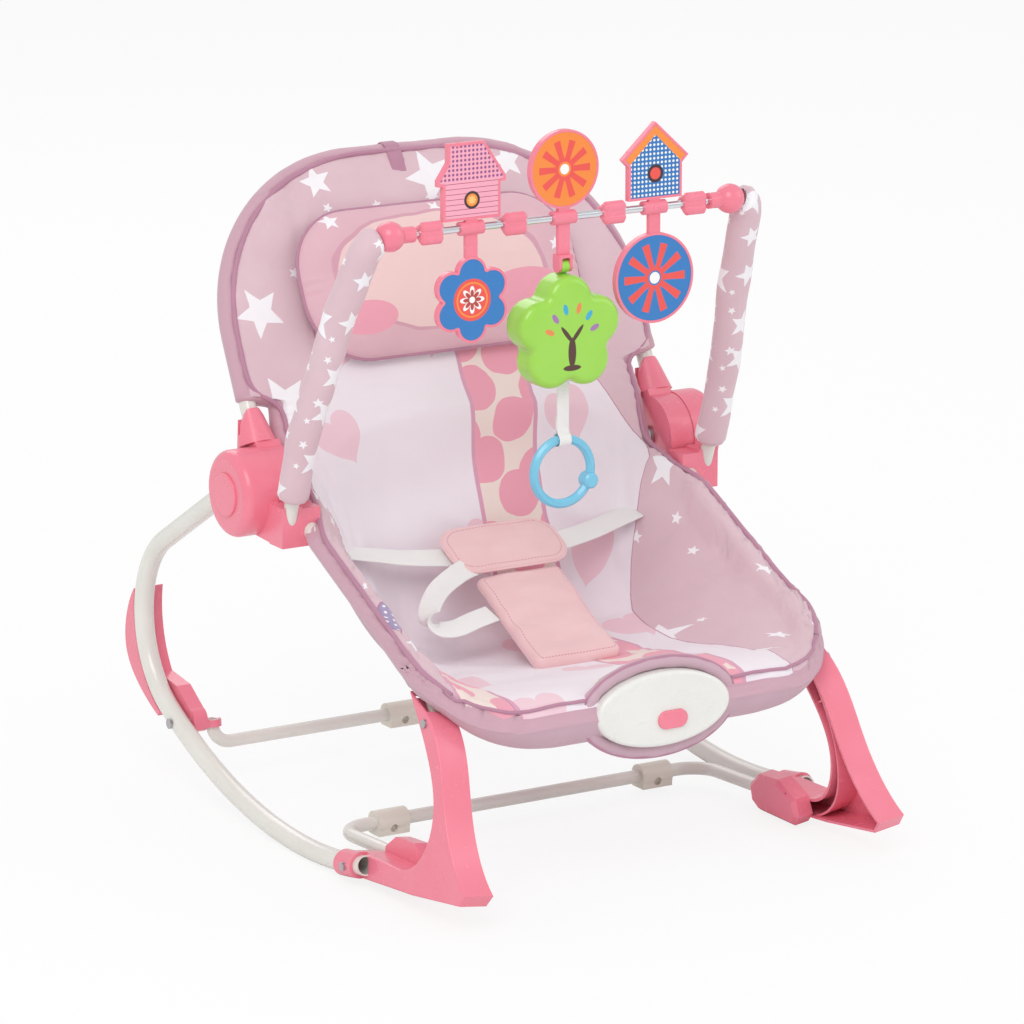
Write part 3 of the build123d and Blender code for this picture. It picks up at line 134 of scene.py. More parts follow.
def make_world():
    world = bpy.data.worlds.new("studio")
    world.use_nodes = True
    tree = world.node_tree
    light = tree.nodes["Background"]
    light.inputs["Color"].default_value = (1, 1, 1, 1)
    light.inputs["Strength"].default_value = sky_light
    seen = tree.nodes.new("ShaderNodeBackground")
    ray = tree.nodes.new("ShaderNodeLightPath")
    mix = tree.nodes.new("ShaderNodeMixShader")
    tree.links.new(ray.outputs["Is Camera Ray"], mix.inputs[0])
    tree.links.new(light.outputs[0], mix.inputs[1])
    tree.links.new(seen.outputs[0], mix.inputs[2])
    tree.links.new(mix.outputs[0], tree.nodes["World Output"].inputs["Surface"])
    seen.inputs["Color"].default_value = (1, 1, 1, 1)
    bpy.context.scene.world = world


def make_lamp(name, place, size, power):
    data = bpy.data.lights.new(name, "AREA")
    data.size = size
    data.energy = power
    lamp = bpy.data.objects.new(name, data)
    aim = Vector((0, 0, 0.3)) - Vector(place)
    lamp.matrix_world = Matrix.Translation(place) @ aim.to_track_quat("-Z", "Y").to_matrix().to_4x4()
    bpy.context.scene.collection.objects.link(lamp)


make_floor()
make_world()
for lamp_row in lamps:
    make_lamp(*lamp_row)
bpy.context.scene.view_settings.view_transform = "Standard"
print("studio with", len(lamps), "lamps")

# %% [markdown]
# ## A short way to write materials
# A material is a small network of nodes. Written out one by one they hide the idea, so this class
# gives each kind of node a short call. A number that is the same all over goes straight onto the
# shader; only what changes over the surface is linked.

# %% The recipe class


def paint(red, green, blue):
    """A colour as a picture program shows it, turned into the linear numbers that shaders use."""
    parts = [value / 255 for value in (red, green, blue)]
    return tuple(p / 12.92 if p <= 0.04045 else ((p + 0.055) / 1.055) ** 2.4 for p in parts) + (1.0,)


class Recipe:
    """A material's node network, with short ways to add and join nodes."""

    def __init__(self, name, color, roughness):
        self.material = bpy.data.materials.new(name)
        self.material.use_nodes = True
        self.tree = self.material.node_tree
        self.shader = self.tree.nodes["Principled BSDF"]
        self.shader.inputs["Base Color"].default_value = color
        self.shader.inputs["Roughness"].default_value = roughness
        self.color = color

    def put(self, socket, value):
        if isinstance(value, bpy.types.NodeSocket):
            self.tree.links.new(value, socket)
        else:
            socket.default_value = value

    def math(self, operation, first, second=0.0, third=0.0):
        node = self.tree.nodes.new("ShaderNodeMath")
        node.operation = operation
        for socket, value in zip(node.inputs, (first, second, third)):
            self.put(socket, value)
        return node.outputs[0]

    def vector(self, operation, first, second):
        node = self.tree.nodes.new("ShaderNodeVectorMath")
        node.operation = operation
        self.put(node.inputs[0], first)
        self.put(node.inputs[1], second)
        return node.outputs["Vector"]

    def split(self, vector):
        node = self.tree.nodes.new("ShaderNodeSeparateXYZ")
        self.put(node.inputs[0], vector)
        return node.outputs[0], node.outputs[1], node.outputs[2]

    def merge(self, x, y):
        node = self.tree.nodes.new("ShaderNodeCombineXYZ")
        self.put(node.inputs[0], x)
        self.put(node.inputs[1], y)
        return node.outputs[0]

    def mix(self, share, first, second):
        node = self.tree.nodes.new("ShaderNodeMix")
        node.data_type = "RGBA"
        self.put(node.inputs["Factor"], share)
        self.put(node.inputs[6], first)
        self.put(node.inputs[7], second)
        return node.outputs[2]

    def place(self):
        return self.tree.nodes.new("ShaderNodeTexCoord").outputs["Object"]

    def cloth_place(self, name):
        node = self.tree.nodes.new("ShaderNodeUVMap")
        node.uv_map = name
        return node.outputs[0]

    def noise(self, where, scale, detail=2.0):
        node = self.tree.nodes.new("ShaderNodeTexNoise")
        self.put(node.inputs["Vector"], where)
        node.inputs["Scale"].default_value = scale
        node.inputs["Detail"].default_value = detail
        return node.outputs[0]

    def waves(self, where, scale, direction):
        node = self.tree.nodes.new("ShaderNodeTexWave")
        node.bands_direction = direction
        self.put(node.inputs["Vector"], where)
        node.inputs["Scale"].default_value = scale
        return node.outputs["Fac"]

    def cells(self, where, scale, randomness):
        node = self.tree.nodes.new("ShaderNodeTexVoronoi")
        node.voronoi_dimensions = "2D"
        self.put(node.inputs["Vector"], where)
        node.inputs["Scale"].default_value = scale
        node.inputs["Randomness"].default_value = randomness
        return node.outputs["Distance"], node.outputs["Color"], node.outputs["Position"]

    def bump(self, height, distance, strength=1.0):
        node = self.tree.nodes.new("ShaderNodeBump")
        node.inputs["Strength"].default_value = strength
        node.inputs["Distance"].default_value = distance
        self.put(node.inputs["Height"], height)
        normal = self.shader.inputs["Normal"]
        if normal.is_linked:
            self.tree.links.new(normal.links[0].from_socket, node.inputs["Normal"])
        self.tree.links.new(node.outputs[0], normal)

    def vary_color(self, share, darker):
        """Mixes the colour so far with a darker one."""
        self.color = self.mix(share, self.color, darker)
        self.put(self.shader.inputs["Base Color"], self.color)

    def vary_roughness(self, share, low, high):
        spread = self.math("MULTIPLY_ADD", share, high - low, low)
        self.put(self.shader.inputs["Roughness"], spread)


print("recipes ready")

# %% [markdown]
# ## Plastics and metals
# Moulded plastic is never quite even. The skin has a fine grain from the mould, the surface waves
# slightly where the wall shrank as it cooled, and handling leaves patches of different gloss.
# Three noises at three sizes give that. Enamelled steel is smoother, with a little orange peel.

# %% Plastic and metal finishes
grain_scale = 1400.0
shrink_scale = 45.0
handling_scale = 18.0


def moulded(name, color, shade, gloss=(0.2, 0.34), grain=0.00002, coat=0.25):
    recipe = Recipe(name, color, gloss[0])
    where = recipe.place()
    recipe.vary_color(recipe.noise(where, handling_scale), shade)
    recipe.vary_roughness(recipe.noise(where, handling_scale * 3, 4), *gloss)
    recipe.bump(recipe.noise(where, shrink_scale), 0.0004, 0.25)
    recipe.bump(recipe.noise(where, grain_scale), grain, 0.5)
    recipe.shader.inputs["Coat Weight"].default_value = coat
    recipe.shader.inputs["Coat Roughness"].default_value = 0.12
    return recipe


def metal(name, color, shade, gloss, brushed):
    recipe = Recipe(name, color, gloss[0])
    where = recipe.place()
    recipe.shader.inputs["Metallic"].default_value = 1.0
    recipe.vary_color(recipe.noise(where, handling_scale), shade)
    recipe.vary_roughness(recipe.noise(where, handling_scale * 4, 3), *gloss)
    stretched = recipe.vector("MULTIPLY", where, (brushed, 1.0, 1.0))
    recipe.bump(recipe.noise(stretched, grain_scale), 0.00001, 0.4)
    return recipe


finish = {
    "white_enamel": moulded(
        "white_enamel", paint(238, 237, 230), paint(224, 222, 214), (0.14, 0.24), 0.00001, 0.5
    ),
    "ivory_plastic": moulded("ivory_plastic", paint(236, 233, 221), paint(222, 218, 204), (0.34, 0.46)),
    "pink_plastic": moulded("pink_plastic", paint(248, 140, 160), paint(240, 122, 144), (0.2, 0.32)),
    "white_plastic": moulded("white_plastic", paint(243, 243, 238), paint(230, 230, 226), (0.22, 0.34)),
    "steel": metal("steel", paint(200, 200, 202), paint(168, 168, 172), (0.26, 0.42), 0.15),
    "chrome": metal("chrome", paint(232, 234, 238), paint(214, 218, 224), (0.05, 0.14), 0.05),
    "blue_plastic": moulded("blue_plastic", paint(132, 208, 236), paint(112, 192, 224), (0.16, 0.26)),
    "cell_wrap": moulded("cell_wrap", paint(58, 58, 64), paint(40, 40, 46), (0.4, 0.55)),
}
print(len(finish), "hard finishes")

# %% [markdown]
# ## Printed toy plates
# The plates on the rod are flat prints under gloss. A print is drawn here by distance: how far a
# point is from a centre, or which way it lies, says which ink it gets. It is sharp at any size
# and needs no picture file. All the motifs are plain ones: spokes, dots, checks, petals.

# %% Marks drawn by distance
ink_sharpness = 2500.0
rod_low, rod_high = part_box("toy_rod")
rod_z = (rod_low.z + rod_high.z) / 2


def inside(recipe, distance, radius):
    """1 where distance is under radius, with an edge a fraction of a millimetre soft."""
    gap = recipe.math("SUBTRACT", radius, distance)
    return recipe.math("MULTIPLY_ADD", gap, ink_sharpness, 0.5)


def clamped(recipe, value):
    return recipe.math("MINIMUM", recipe.math("MAXIMUM", value, 0.0), 1.0)


def polar(recipe, x, y, centre):
    """Distance and angle from a centre in the plate's plane."""
    across = recipe.math("SUBTRACT", x, centre[0])
    up = recipe.math("SUBTRACT", y, centre[1])
    squared = recipe.math("ADD", recipe.math("MULTIPLY", across, across), recipe.math("MULTIPLY", up, up))
    return recipe.math("SQRT", squared), recipe.math("ARCTAN2", up, across)


def disc(recipe, x, y, centre, radius):
    distance, angle = polar(recipe, x, y, centre)
    return clamped(recipe, inside(recipe, distance, radius))


def spokes(recipe, x, y, centre, count, inner, outer):
    """Spokes between two radii, a little wider at their outer ends."""
    distance, angle = polar(recipe, x, y, centre)
    turn_share = recipe.math("ABSOLUTE", recipe.math("SINE", recipe.math("MULTIPLY", angle, count / 2)))
    side = recipe.math("MULTIPLY", recipe.math("MULTIPLY", turn_share, 2 / count), distance)
    half = recipe.math("MULTIPLY_ADD", distance, 0.075, 0.0013)
    spoke = clamped(recipe, inside(recipe, side, half))
    full = clamped(recipe, inside(recipe, distance, outer))
    ring = recipe.math("SUBTRACT", full, clamped(recipe, inside(recipe, distance, inner)))
    return recipe.math("MULTIPLY", spoke, ring)


def bar(recipe, x, y, centre, turn, reach, half):
    """A lens about a centre, turned by an angle: reach is half its length, half is half its width."""
    across = recipe.math("SUBTRACT", x, centre[0])
    up = recipe.math("SUBTRACT", y, centre[1])
    cosine, sine = math.cos(turn), math.sin(turn)
    forth = recipe.math("ADD", recipe.math("MULTIPLY", across, cosine), recipe.math("MULTIPLY", up, sine))
    leaned = recipe.math("MULTIPLY", across, sine)
    aside = recipe.math("SUBTRACT", recipe.math("MULTIPLY", up, cosine), leaned)
    length = recipe.math("POWER", recipe.math("ABSOLUTE", recipe.math("DIVIDE", forth, reach)), 2.0)
    width = recipe.math("POWER", recipe.math("ABSOLUTE", recipe.math("DIVIDE", aside, half)), 2.0)
    rim = recipe.math("MULTIPLY", recipe.math("SQRT", recipe.math("ADD", length, width)), half)
    return clamped(recipe, inside(recipe, rim, half))


def petals(recipe, x, y, centre, count, reach):
    """A daisy: its edge moves in and out as the angle turns."""
    distance, angle = polar(recipe, x, y, centre)
    wave = recipe.math("ABSOLUTE", recipe.math("COSINE", recipe.math("MULTIPLY", angle, count / 2)))
    edge = recipe.math("MULTIPLY_ADD", wave, reach * 0.55, reach * 0.45)
    return clamped(recipe, inside(recipe, distance, edge))


def dots(recipe, x, y, pitch, radius):
    distance = recipe.cells(recipe.merge(x, y), 1 / pitch, 0.0)[0]
    return clamped(recipe, inside(recipe, recipe.math("MULTIPLY", distance, pitch), radius))


def printed(name, color, shade):
    recipe = moulded(name, color, shade, (0.16, 0.24))
    x, y, z = recipe.split(recipe.place())
    return recipe, x, z


print("marks ready, the rod is", round(rod_z, 3), "m up")

# %% [markdown]
# ## The three toys' plates
# Each toy has a plate above the rod and one below. A mask on the height keeps each print on its
# own plate. The middle of each plate is read from the frame, so the spokes are centred on it.

# %% Toy prints
cherry = paint(240, 84, 76)
orange_ink = paint(250, 146, 62)
white_ink = paint(250, 250, 248)
dark_ink = paint(58, 38, 44)
toy_blue = paint(44, 124, 196)
shell_pink = paint(250, 176, 196)
brick_ink = paint(186, 66, 58)
plate_rise = 0.008
low_toy_drop = 0.066
house_wall = 0.036
siding_pitch = 0.0048
check_pitch = 0.0042
house_check = 0.0013
house_window = 0.018
house_window_rings = [(0.0082, dark_ink), (0.0058, orange_ink)]
house_window_petal = 0.0042
petal_count = 8
flower_rings = [(0.0195, cherry), (0.0165, orange_ink), (0.0148, cherry)]
flower_petals = [(0.0128, white_ink), (0.0095, brick_ink)]
flower_heart = 0.003
disc_spoke_shares = (0.2, 0.8)
disc_hub_share = 0.14
spoke_count = 10
bird_check = 0.0012
bird_window = 0.024
bird_window_rings = [(0.0086, dark_ink), (0.0056, cherry)]
roof_slope = 0.95
roof_board = 0.0085
wheel_inner = 0.007
wheel_outer = 0.033
wheel_hub = 0.0055
leaf_half_length = 0.0052
leaf_half_width = 0.0026
branch_turn = 0.9
branch_middle = 0.0085


def plate_middle(node):
    low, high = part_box(node)
    return (low.x + high.x) / 2, low.z, high.z


def below_rod(recipe, z):
    return clamped(recipe, inside(recipe, z, rod_z))


def tint(recipe, mask, color):
    recipe.vary_color(mask, color)


def round_marks(recipe, x, z, centre, marks):
    """Discs of ink, each over the one before; a mark is a radius and an ink."""
    for radius, ink in marks:
        tint(recipe, disc(recipe, x, z, centre, radius), ink)


def house_print():
    recipe, x, z = printed("house_print", shell_pink, paint(246, 166, 188))
    middle, low, high = plate_middle("house_toy_plates")
    lines = recipe.math("SINE", recipe.math("MULTIPLY", z, 2 * math.pi / siding_pitch))
    on_wall = clamped(recipe, inside(recipe, z, rod_z + plate_rise + house_wall))
    thin_lines = clamped(recipe, recipe.math("MULTIPLY_ADD", lines, 8.0, -7.0))
    tint(recipe, recipe.math("MULTIPLY", thin_lines, on_wall), paint(150, 60, 84))
    off_wall = recipe.math("SUBTRACT", 1.0, on_wall)
    check = recipe.math("MULTIPLY", dots(recipe, x, z, check_pitch, house_check), off_wall)
    tint(recipe, check, paint(150, 84, 138))
    window = (middle, rod_z + plate_rise + house_window)
    round_marks(recipe, x, z, window, house_window_rings)
    daisy = petals(recipe, x, z, window, petal_count, house_window_petal)
    tint(recipe, daisy, paint(250, 206, 120))
    flower = (middle, rod_z - low_toy_drop)
    tint(recipe, below_rod(recipe, z), toy_blue)
    round_marks(recipe, x, z, flower, flower_rings)
    for reach, ink in flower_petals:
        tint(recipe, petals(recipe, x, z, flower, petal_count, reach), ink)
    tint(recipe, disc(recipe, x, z, flower, flower_heart), white_ink)
    return recipe


def disc_print():
    recipe, x, z = printed("disc_print", orange_ink, paint(246, 134, 50))
    low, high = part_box("disc_toy_plate")
    centre = ((low.x + high.x) / 2, (low.z + high.z) / 2)
    reach = (high.x - low.x) / 2
    inner, outer = (reach * share for share in disc_spoke_shares)
    tint(recipe, spokes(recipe, x, z, centre, spoke_count, inner, outer), cherry)
    tint(recipe, disc(recipe, x, z, centre, reach * disc_hub_share), white_ink)
    return recipe


def birdhouse_print():
    recipe, x, z = printed("birdhouse_print", toy_blue, paint(34, 112, 184))
    middle, low, high = plate_middle("birdhouse_toy_plates")
    tint(recipe, dots(recipe, x, z, check_pitch, bird_check), white_ink)
    across = recipe.math("ABSOLUTE", recipe.math("SUBTRACT", x, middle))
    roof_line = recipe.math("MULTIPLY_ADD", across, roof_slope, z)
    roof = recipe.math("SUBTRACT", 1.0, inside(recipe, roof_line, high - roof_board))
    above = recipe.math("SUBTRACT", 1.0, below_rod(recipe, z))
    tint(recipe, recipe.math("MULTIPLY", clamped(recipe, roof), above), orange_ink)
    window = (middle, rod_z + plate_rise + bird_window)
    round_marks(recipe, x, z, window, bird_window_rings)
    wheel = (middle, rod_z - low_toy_drop)
    tint(recipe, below_rod(recipe, z), toy_blue)
    tint(recipe, spokes(recipe, x, z, wheel, spoke_count, wheel_inner, wheel_outer), cherry)
    tint(recipe, disc(recipe, x, z, wheel, wheel_hub), white_ink)
    return recipe


def rattle_print():
    """A green shell with a plain tree printed on its front: a trunk, two branches, six leaves."""
    recipe, x, z = printed("rattle_print", paint(172, 226, 92), paint(152, 214, 68))
    low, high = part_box("rattle_front")
    middle = (low.z + high.z) / 2
    recipe.shader.inputs["Subsurface Weight"].default_value = 0.08
    blue_leaf, orange_leaf, plum_leaf = paint(60, 176, 214), paint(240, 140, 80), paint(170, 120, 178)
    leaves = [
        (-0.024, 0.002, 2.7, orange_leaf), (-0.018, 0.014, 2.2, plum_leaf),
        (-0.007, 0.0215, 1.8, blue_leaf), (0.007, 0.0215, 1.35, orange_leaf),
        (0.018, 0.014, 0.95, blue_leaf), (0.024, 0.002, 0.45, plum_leaf),
    ]
    for side, rise, turn, ink in leaves:
        leaf = bar(recipe, x, z, (side, middle + rise), turn, leaf_half_length, leaf_half_width)
        tint(recipe, leaf, ink)
    trunk = bar(recipe, x, z, (0.0, middle - 0.019), math.pi / 2, 0.014, 0.0042)
    for turn in (branch_turn, math.pi - branch_turn):
        side, rise = math.cos(turn) * branch_middle, math.sin(turn) * branch_middle
        branch = bar(recipe, x, z, (side, middle - 0.009 + rise), turn, 0.0105, 0.0021)
        trunk = recipe.math("MAXIMUM", trunk, branch)
    root = bar(recipe, x, z, (0.0, middle - 0.0335), 0.0, 0.0095, 0.0028)
    trunk = recipe.math("MAXIMUM", trunk, root)
    tint(recipe, trunk, paint(84, 52, 40))
    return recipe


finish["house_print"] = house_print()
finish["disc_print"] = disc_print()
finish["birdhouse_print"] = birdhouse_print()
finish["rattle_print"] = rattle_print()
finish["green_plastic"] = moulded("green_plastic", paint(172, 226, 92), paint(152, 214, 68), (0.16, 0.24))
own_finish = {
    "house_toy_plates": "house_print", "disc_toy_plate": "disc_print",
    "birdhouse_toy_plates": "birdhouse_print", "rattle_front": "rattle_print",
}
print("printed plates:", ", ".join(sorted(own_finish)))

# %% [markdown]
# ## Cloth
# A woven cloth shows three things: threads that cross, a soft sheen where fibres stand up, and
# colour that drifts a little from place to place. The threads are two sets of waves at right
# angles, used as bump. The cloth's own place, stored on the mesh when it is cut out flat, keeps
# the threads running with the piece when it bends.

# %% Cloth recipe
thread_pitch = 0.0011


def woven(name, color, shade, where=None, sheen=0.25, depth=0.00012):
    recipe = Recipe(name, color, 0.82)
    where = where(recipe) if where else recipe.place()
    recipe.vary_color(recipe.noise(recipe.place(), 24.0, 3), shade)
    across = recipe.waves(where, 1 / thread_pitch / 2, "X")
    along = recipe.waves(where, 1 / thread_pitch / 2, "Y")
    recipe.bump(recipe.math("MULTIPLY", across, along), depth, 0.35)
    recipe.bump(recipe.noise(recipe.place(), 130.0, 3), 0.0009, 0.3)
    recipe.shader.inputs["Sheen Weight"].default_value = sheen
    recipe.shader.inputs["Sheen Roughness"].default_value = 0.45
    return recipe


def on_cloth(recipe):
    return recipe.cloth_place("cloth")


mauve = paint(196, 146, 168)
mauve_shade = paint(180, 128, 152)
finish["mauve_piping"] = woven("mauve_piping", mauve, mauve_shade)
finish["lining"] = woven("lining", paint(212, 180, 192), paint(198, 164, 178), on_cloth)
print("thread pitch", thread_pitch * 1000, "mm")

# %% [markdown]
# ## The cover's print
# The print has stars scattered on dusty rose, a pale panel down the middle with a ribbon of coral
# rounds each side, and a few dotted hearts. Stars and hearts are scattered by cells: the cloth is
# divided into cells, each with a centre and a chance number, and the mark is drawn about the
# centre. A folded angle turns one straight edge into a five-pointed star.

# %% Scattered marks
star_notch = 0.45
fold = math.pi / 5


def cell_marks(recipe, where, pitch, randomness):
    """For each point: where it lies from its cell's centre, and two chance numbers for the cell."""
    distance, chance, centre = recipe.cells(where, 1 / pitch, randomness)
    offset = recipe.vector("SUBTRACT", where, centre)
    first, second, third = recipe.split(chance)
    return offset, first, second


def star_marks(recipe, where, pitch, size, randomness, keep):
    """Five-pointed stars up to size across their tips; keep is the share of cells that has one."""
    offset, chance, turn_chance = cell_marks(recipe, where, pitch, randomness)
    x, y, flat = recipe.split(offset)
    distance, angle = polar(recipe, x, y, (0.0, 0.0))
    turned = recipe.math("MULTIPLY_ADD", turn_chance, 2 * math.pi, angle)
    sector = recipe.math("FRACT", recipe.math("DIVIDE", turned, 2 * fold))
    side = recipe.math("MULTIPLY", recipe.math("ABSOLUTE", recipe.math("SUBTRACT", sector, 0.5)), 2 * fold)
    tip = recipe.math("SINE", side)
    notch = recipe.math("MULTIPLY", recipe.math("SINE", recipe.math("SUBTRACT", fold, side)), star_notch)
    edge = recipe.math("DIVIDE", star_notch * math.sin(fold), recipe.math("ADD", tip, notch))
    grown = recipe.math("MULTIPLY_ADD", chance, size * 0.5 / keep, size * 0.5)
    radius = recipe.math("MULTIPLY", edge, grown)
    present = clamped(recipe, recipe.math("MULTIPLY", recipe.math("SUBTRACT", keep, chance), 400.0))
    return recipe.math("MULTIPLY", clamped(recipe, inside(recipe, distance, radius)), present)


def heart_marks(recipe, where, pitch, size, randomness, keep):
    """Hearts, as two masks: the outline's whole shape, and the part inside its edge."""
    offset, chance, tilt = cell_marks(recipe, where, pitch, randomness)
    x, y, flat = recipe.split(recipe.vector("DIVIDE", offset, (size, size, size)))
    lean = recipe.math("MULTIPLY", recipe.math("SUBTRACT", tilt, 0.5), 1.1)
    right = recipe.math("ADD", x, recipe.math("MULTIPLY", y, lean))
    up = recipe.math("SUBTRACT", y, recipe.math("MULTIPLY", x, lean))
    bend = recipe.math("MULTIPLY", recipe.math("SQRT", recipe.math("ABSOLUTE", right)), 0.75)
    raised = recipe.math("SUBTRACT", recipe.math("ADD", up, 0.15), bend)
    raised_squared = recipe.math("MULTIPLY", raised, raised)
    squared = recipe.math("ADD", recipe.math("MULTIPLY", right, right), raised_squared)
    distance = recipe.math("MULTIPLY", recipe.math("SQRT", squared), size)
    present = clamped(recipe, recipe.math("MULTIPLY", recipe.math("SUBTRACT", keep, chance), 400.0))
    whole = recipe.math("MULTIPLY", clamped(recipe, inside(recipe, distance, size)), present)
    core = recipe.math("MULTIPLY", clamped(recipe, inside(recipe, distance, size - 0.0016)), present)
    return whole, core


print("a star's notch lies at", star_notch, "of its tips")

# %% [markdown]
# ## The cover's shape
# The cover is one padded sling, from the front edge to the top of the back. A padded cloth is a
# skin above, a skin below and a filling between, so it is built as two grids of points that meet
# all round. Each grid point has a share across and a row along. The seat's rows are smooth lines
# through a few stations, at the middle and at the side tube, and the back's rows lie in a plane.

# %% Sizes of the cover
seat_low, seat_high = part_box("seat_cover")
hub = Vector(frame["joints"][0]["pos_m"])
back_lean = math.radians(26.0)
back_front = 0.014
back_rear = 0.011
back_top = 0.317
back_half = 0.230
back_corner = 0.171
neck_half = 0.2018
arm_clear_u = 0.0765
neck_end_u = 0.0865
seat_half = seat_high.x
nose_radius = 0.095
tube_rear = (0.029, 0.307)
tube_front = (-0.252, 0.172)
tube_cover = 0.011
seat_rear_y = 0.088

middle_top_shares = [
    (0, 0.16), (0.016, 0.222), (0.054, 0.262), (0.135, 0.268), (0.302, 0.191),
    (0.518, 0.144), (0.693, 0.144), (0.814, 0.256), (0.9, 0.592), (0.955, 0.943),
]
middle_under_shares = [
    (0, 0.139), (0.013, 0.077), (0.059, 0.02), (0.146, 0.008), (0.253, 0.08),
    (0.485, 0.092), (0.709, 0.092), (0.844, 0.216), (0.938, 0.56), (0.99, 0.923),
]
side_top_shares = [1, 0.985, 0.95, 0.9, 0.76, 0.62, 0.48, 0.34, 0.2, 0.11]
side_under_shares = [1, 0.985, 0.95, 0.88, 0.8, 0.64, 0.46, 0.33, 0.2, 0.11]
side_lift_shares = [0, 0.5, 0.85, 1, 1, 1, 1, 1, 1, 1]
half_width_stations = [1, 1, 1, 1, 1, 1, 1, 1, neck_half / seat_half, 0.895, neck_half / seat_half, 0.905]


def back_point(u, n):
    """A place in the back's plane: u up from the hub, n out towards the child."""
    y = hub.y + u * math.sin(back_lean) - n * math.cos(back_lean)
    return y, hub.z + u * math.cos(back_lean) + n * math.sin(back_lean)


def tube_height(y):
    slope = (tube_rear[1] - tube_front[1]) / (tube_rear[0] - tube_front[0])
    return tube_rear[1] + (y - tube_rear[0]) * slope


def smooth_line(points, where):
    """Places on a smooth line through the points; where 1.5 is half-way from the second to the third."""
    first = 2 * points[0] - points[1]
    last = 2 * points[-1] - points[-2]
    padded = np.concatenate([first[None], points, last[None]])
    step = np.clip(np.floor(where).astype(int), 0, len(points) - 2)
    t = (where - step).reshape(-1, *([1] * (points.ndim - 1)))
    a, b, c, d = (padded[step + k] for k in range(4))
    return 0.5 * (2 * b + (c - a) * t + (2 * a - 5 * b + 4 * c - d) * t**2 + (3 * b - a - 3 * c + d) * t**3)


print("seat", round(seat_half * 2, 3), "m wide, back", round(back_top, 3), "m tall")

# %% [markdown]
# ## The cover's grid
# Rows stand closer where the cloth turns sharply: round the front edge, at the neck and round the
# top corners. Columns crowd towards the sides, where the cloth climbs over the tube.

# %% Grid of the cover
columns = 61
column_shares = np.sin(np.linspace(-math.pi / 2, math.pi / 2, 2 * columns - 1))
nose_rows = np.concatenate([np.linspace(0, 1, 6, endpoint=False), np.linspace(1, 3, 10, endpoint=False)])
seat_rows = np.concatenate([nose_rows, np.linspace(3, 11, 78)])
neck_u = np.linspace(arm_clear_u, neck_end_u, 7)[1:]
straight_u = np.linspace(neck_end_u, back_top - back_corner, 10)[1:]
round_u = back_top - back_corner + back_corner * np.sin(np.linspace(0, math.pi / 2, 30))[1:]
back_u = np.concatenate([neck_u, straight_u, round_u])


def front_of(x):
    """Where the front edge lies at each place across: straight, then round the corner."""
    across = np.clip(np.abs(x) - (seat_half - nose_radius), 0, nose_radius)
    return seat_low.y + nose_radius - np.sqrt(nose_radius**2 - across**2)


def side_weight(share):
    """0 over the flat middle of the seat, 1 at the side tubes, rising like a hung sling."""
    return np.clip((np.abs(share) - 0.45) / 0.48, 0, 1) ** 1.7


def seat_stations(middle_shares, side_shares, lift, back_n):
    """Stations of one skin, for every column: ten on the seat and two on the back."""
    x = column_shares * seat_half
    weight = side_weight(column_shares)
    front = front_of(x)
    rows = []
    for (share_y, share_z), side, rise in zip(middle_shares, side_shares, side_lift_shares):
        middle_y = seat_low.y + share_y * (seat_high.y - seat_low.y)
        squeeze = (seat_rear_y - front) / (seat_rear_y - seat_low.y)
        y = seat_rear_y + (middle_y - seat_rear_y) * squeeze
        z = seat_low.z + share_z * (seat_high.z - seat_low.z)
        side_y = seat_rear_y - side * (seat_rear_y - front)
        side_z = tube_height(side_y) + lift * rise
        rows.append(np.stack([y * (1 - weight) + side_y * weight, z * (1 - weight) + side_z * weight], -1))
    for u in (0.045, arm_clear_u):
        y, z = back_point(u, back_n)
        rows.append(np.stack([np.full_like(x, y), np.full_like(x, z)], -1))
    return np.array(rows)


def half_widths():
    seat = np.interp(seat_rows, range(12), half_width_stations) * seat_half
    rise = np.clip((back_u - arm_clear_u) / (neck_end_u - arm_clear_u), 0, 1)
    neck = seat[-1] + (back_half - seat[-1]) * rise * rise * (3 - 2 * rise)
    over = np.clip(back_u - (back_top - back_corner), 0, back_corner)
    corner = back_half - back_corner + np.sqrt(np.maximum(back_corner**2 - over**2, 0))
    return np.concatenate([seat, np.minimum(neck, corner)])


def skin(middle_shares, side_shares, lift, back_n):
    seat = smooth_line(seat_stations(middle_shares, side_shares, lift, back_n), seat_rows)
    y, z = back_point(back_u, back_n)
    back = np.repeat(np.stack([y, z], -1)[:, None], len(column_shares), 1)
    side_view = np.concatenate([seat, back])
    x = half_widths()[:, None] * column_shares[None]
    return np.concatenate([x[..., None], side_view], -1)


cover_top = skin(middle_top_shares, side_top_shares, tube_cover, back_front)
cover_under = skin(middle_under_shares, side_under_shares, -tube_cover, -back_rear)
print("cover grid", cover_top.shape[0], "rows by", cover_top.shape[1], "columns")

# %% [markdown]
# ## Cloth over the side tube
# The sling is sewn round a bent tube, and the cloth takes the tube's shape there. Each point near
# the tube, seen from above, is lifted onto a circle about the tube's middle; on the lower skin it
# is lowered. The tube's line is the one that the frame's seat tube follows.

# %% Cloth round the seat tube
tube_x = 0.2035
tube_corner = 0.075
tube_wrap = 0.0112
clip_low, clip_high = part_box("seat_clips")
clip_wrap = 0.0152
clip_ease = 0.012
clip_reach_x = 0.15
wrap_end_row = 7.3


def tube_line():
    """The seat tube's middle line, from the right hub round the front to the left hub."""
    angles = np.linspace(0, math.pi / 2, 24)
    corner_x = tube_x - tube_corner + tube_corner * np.cos(angles)
    corner_y = tube_front[0] + tube_corner - tube_corner * np.sin(angles)
    side_y = np.linspace(tube_rear[0], tube_front[0] + tube_corner, 40)
    x = np.concatenate([np.full(40, tube_x), corner_x, np.linspace(tube_x - tube_corner, 0, 24)])
    y = np.concatenate([side_y, corner_y, np.full(24, tube_front[0])])
    return np.stack([x, y, tube_height(y)], -1)


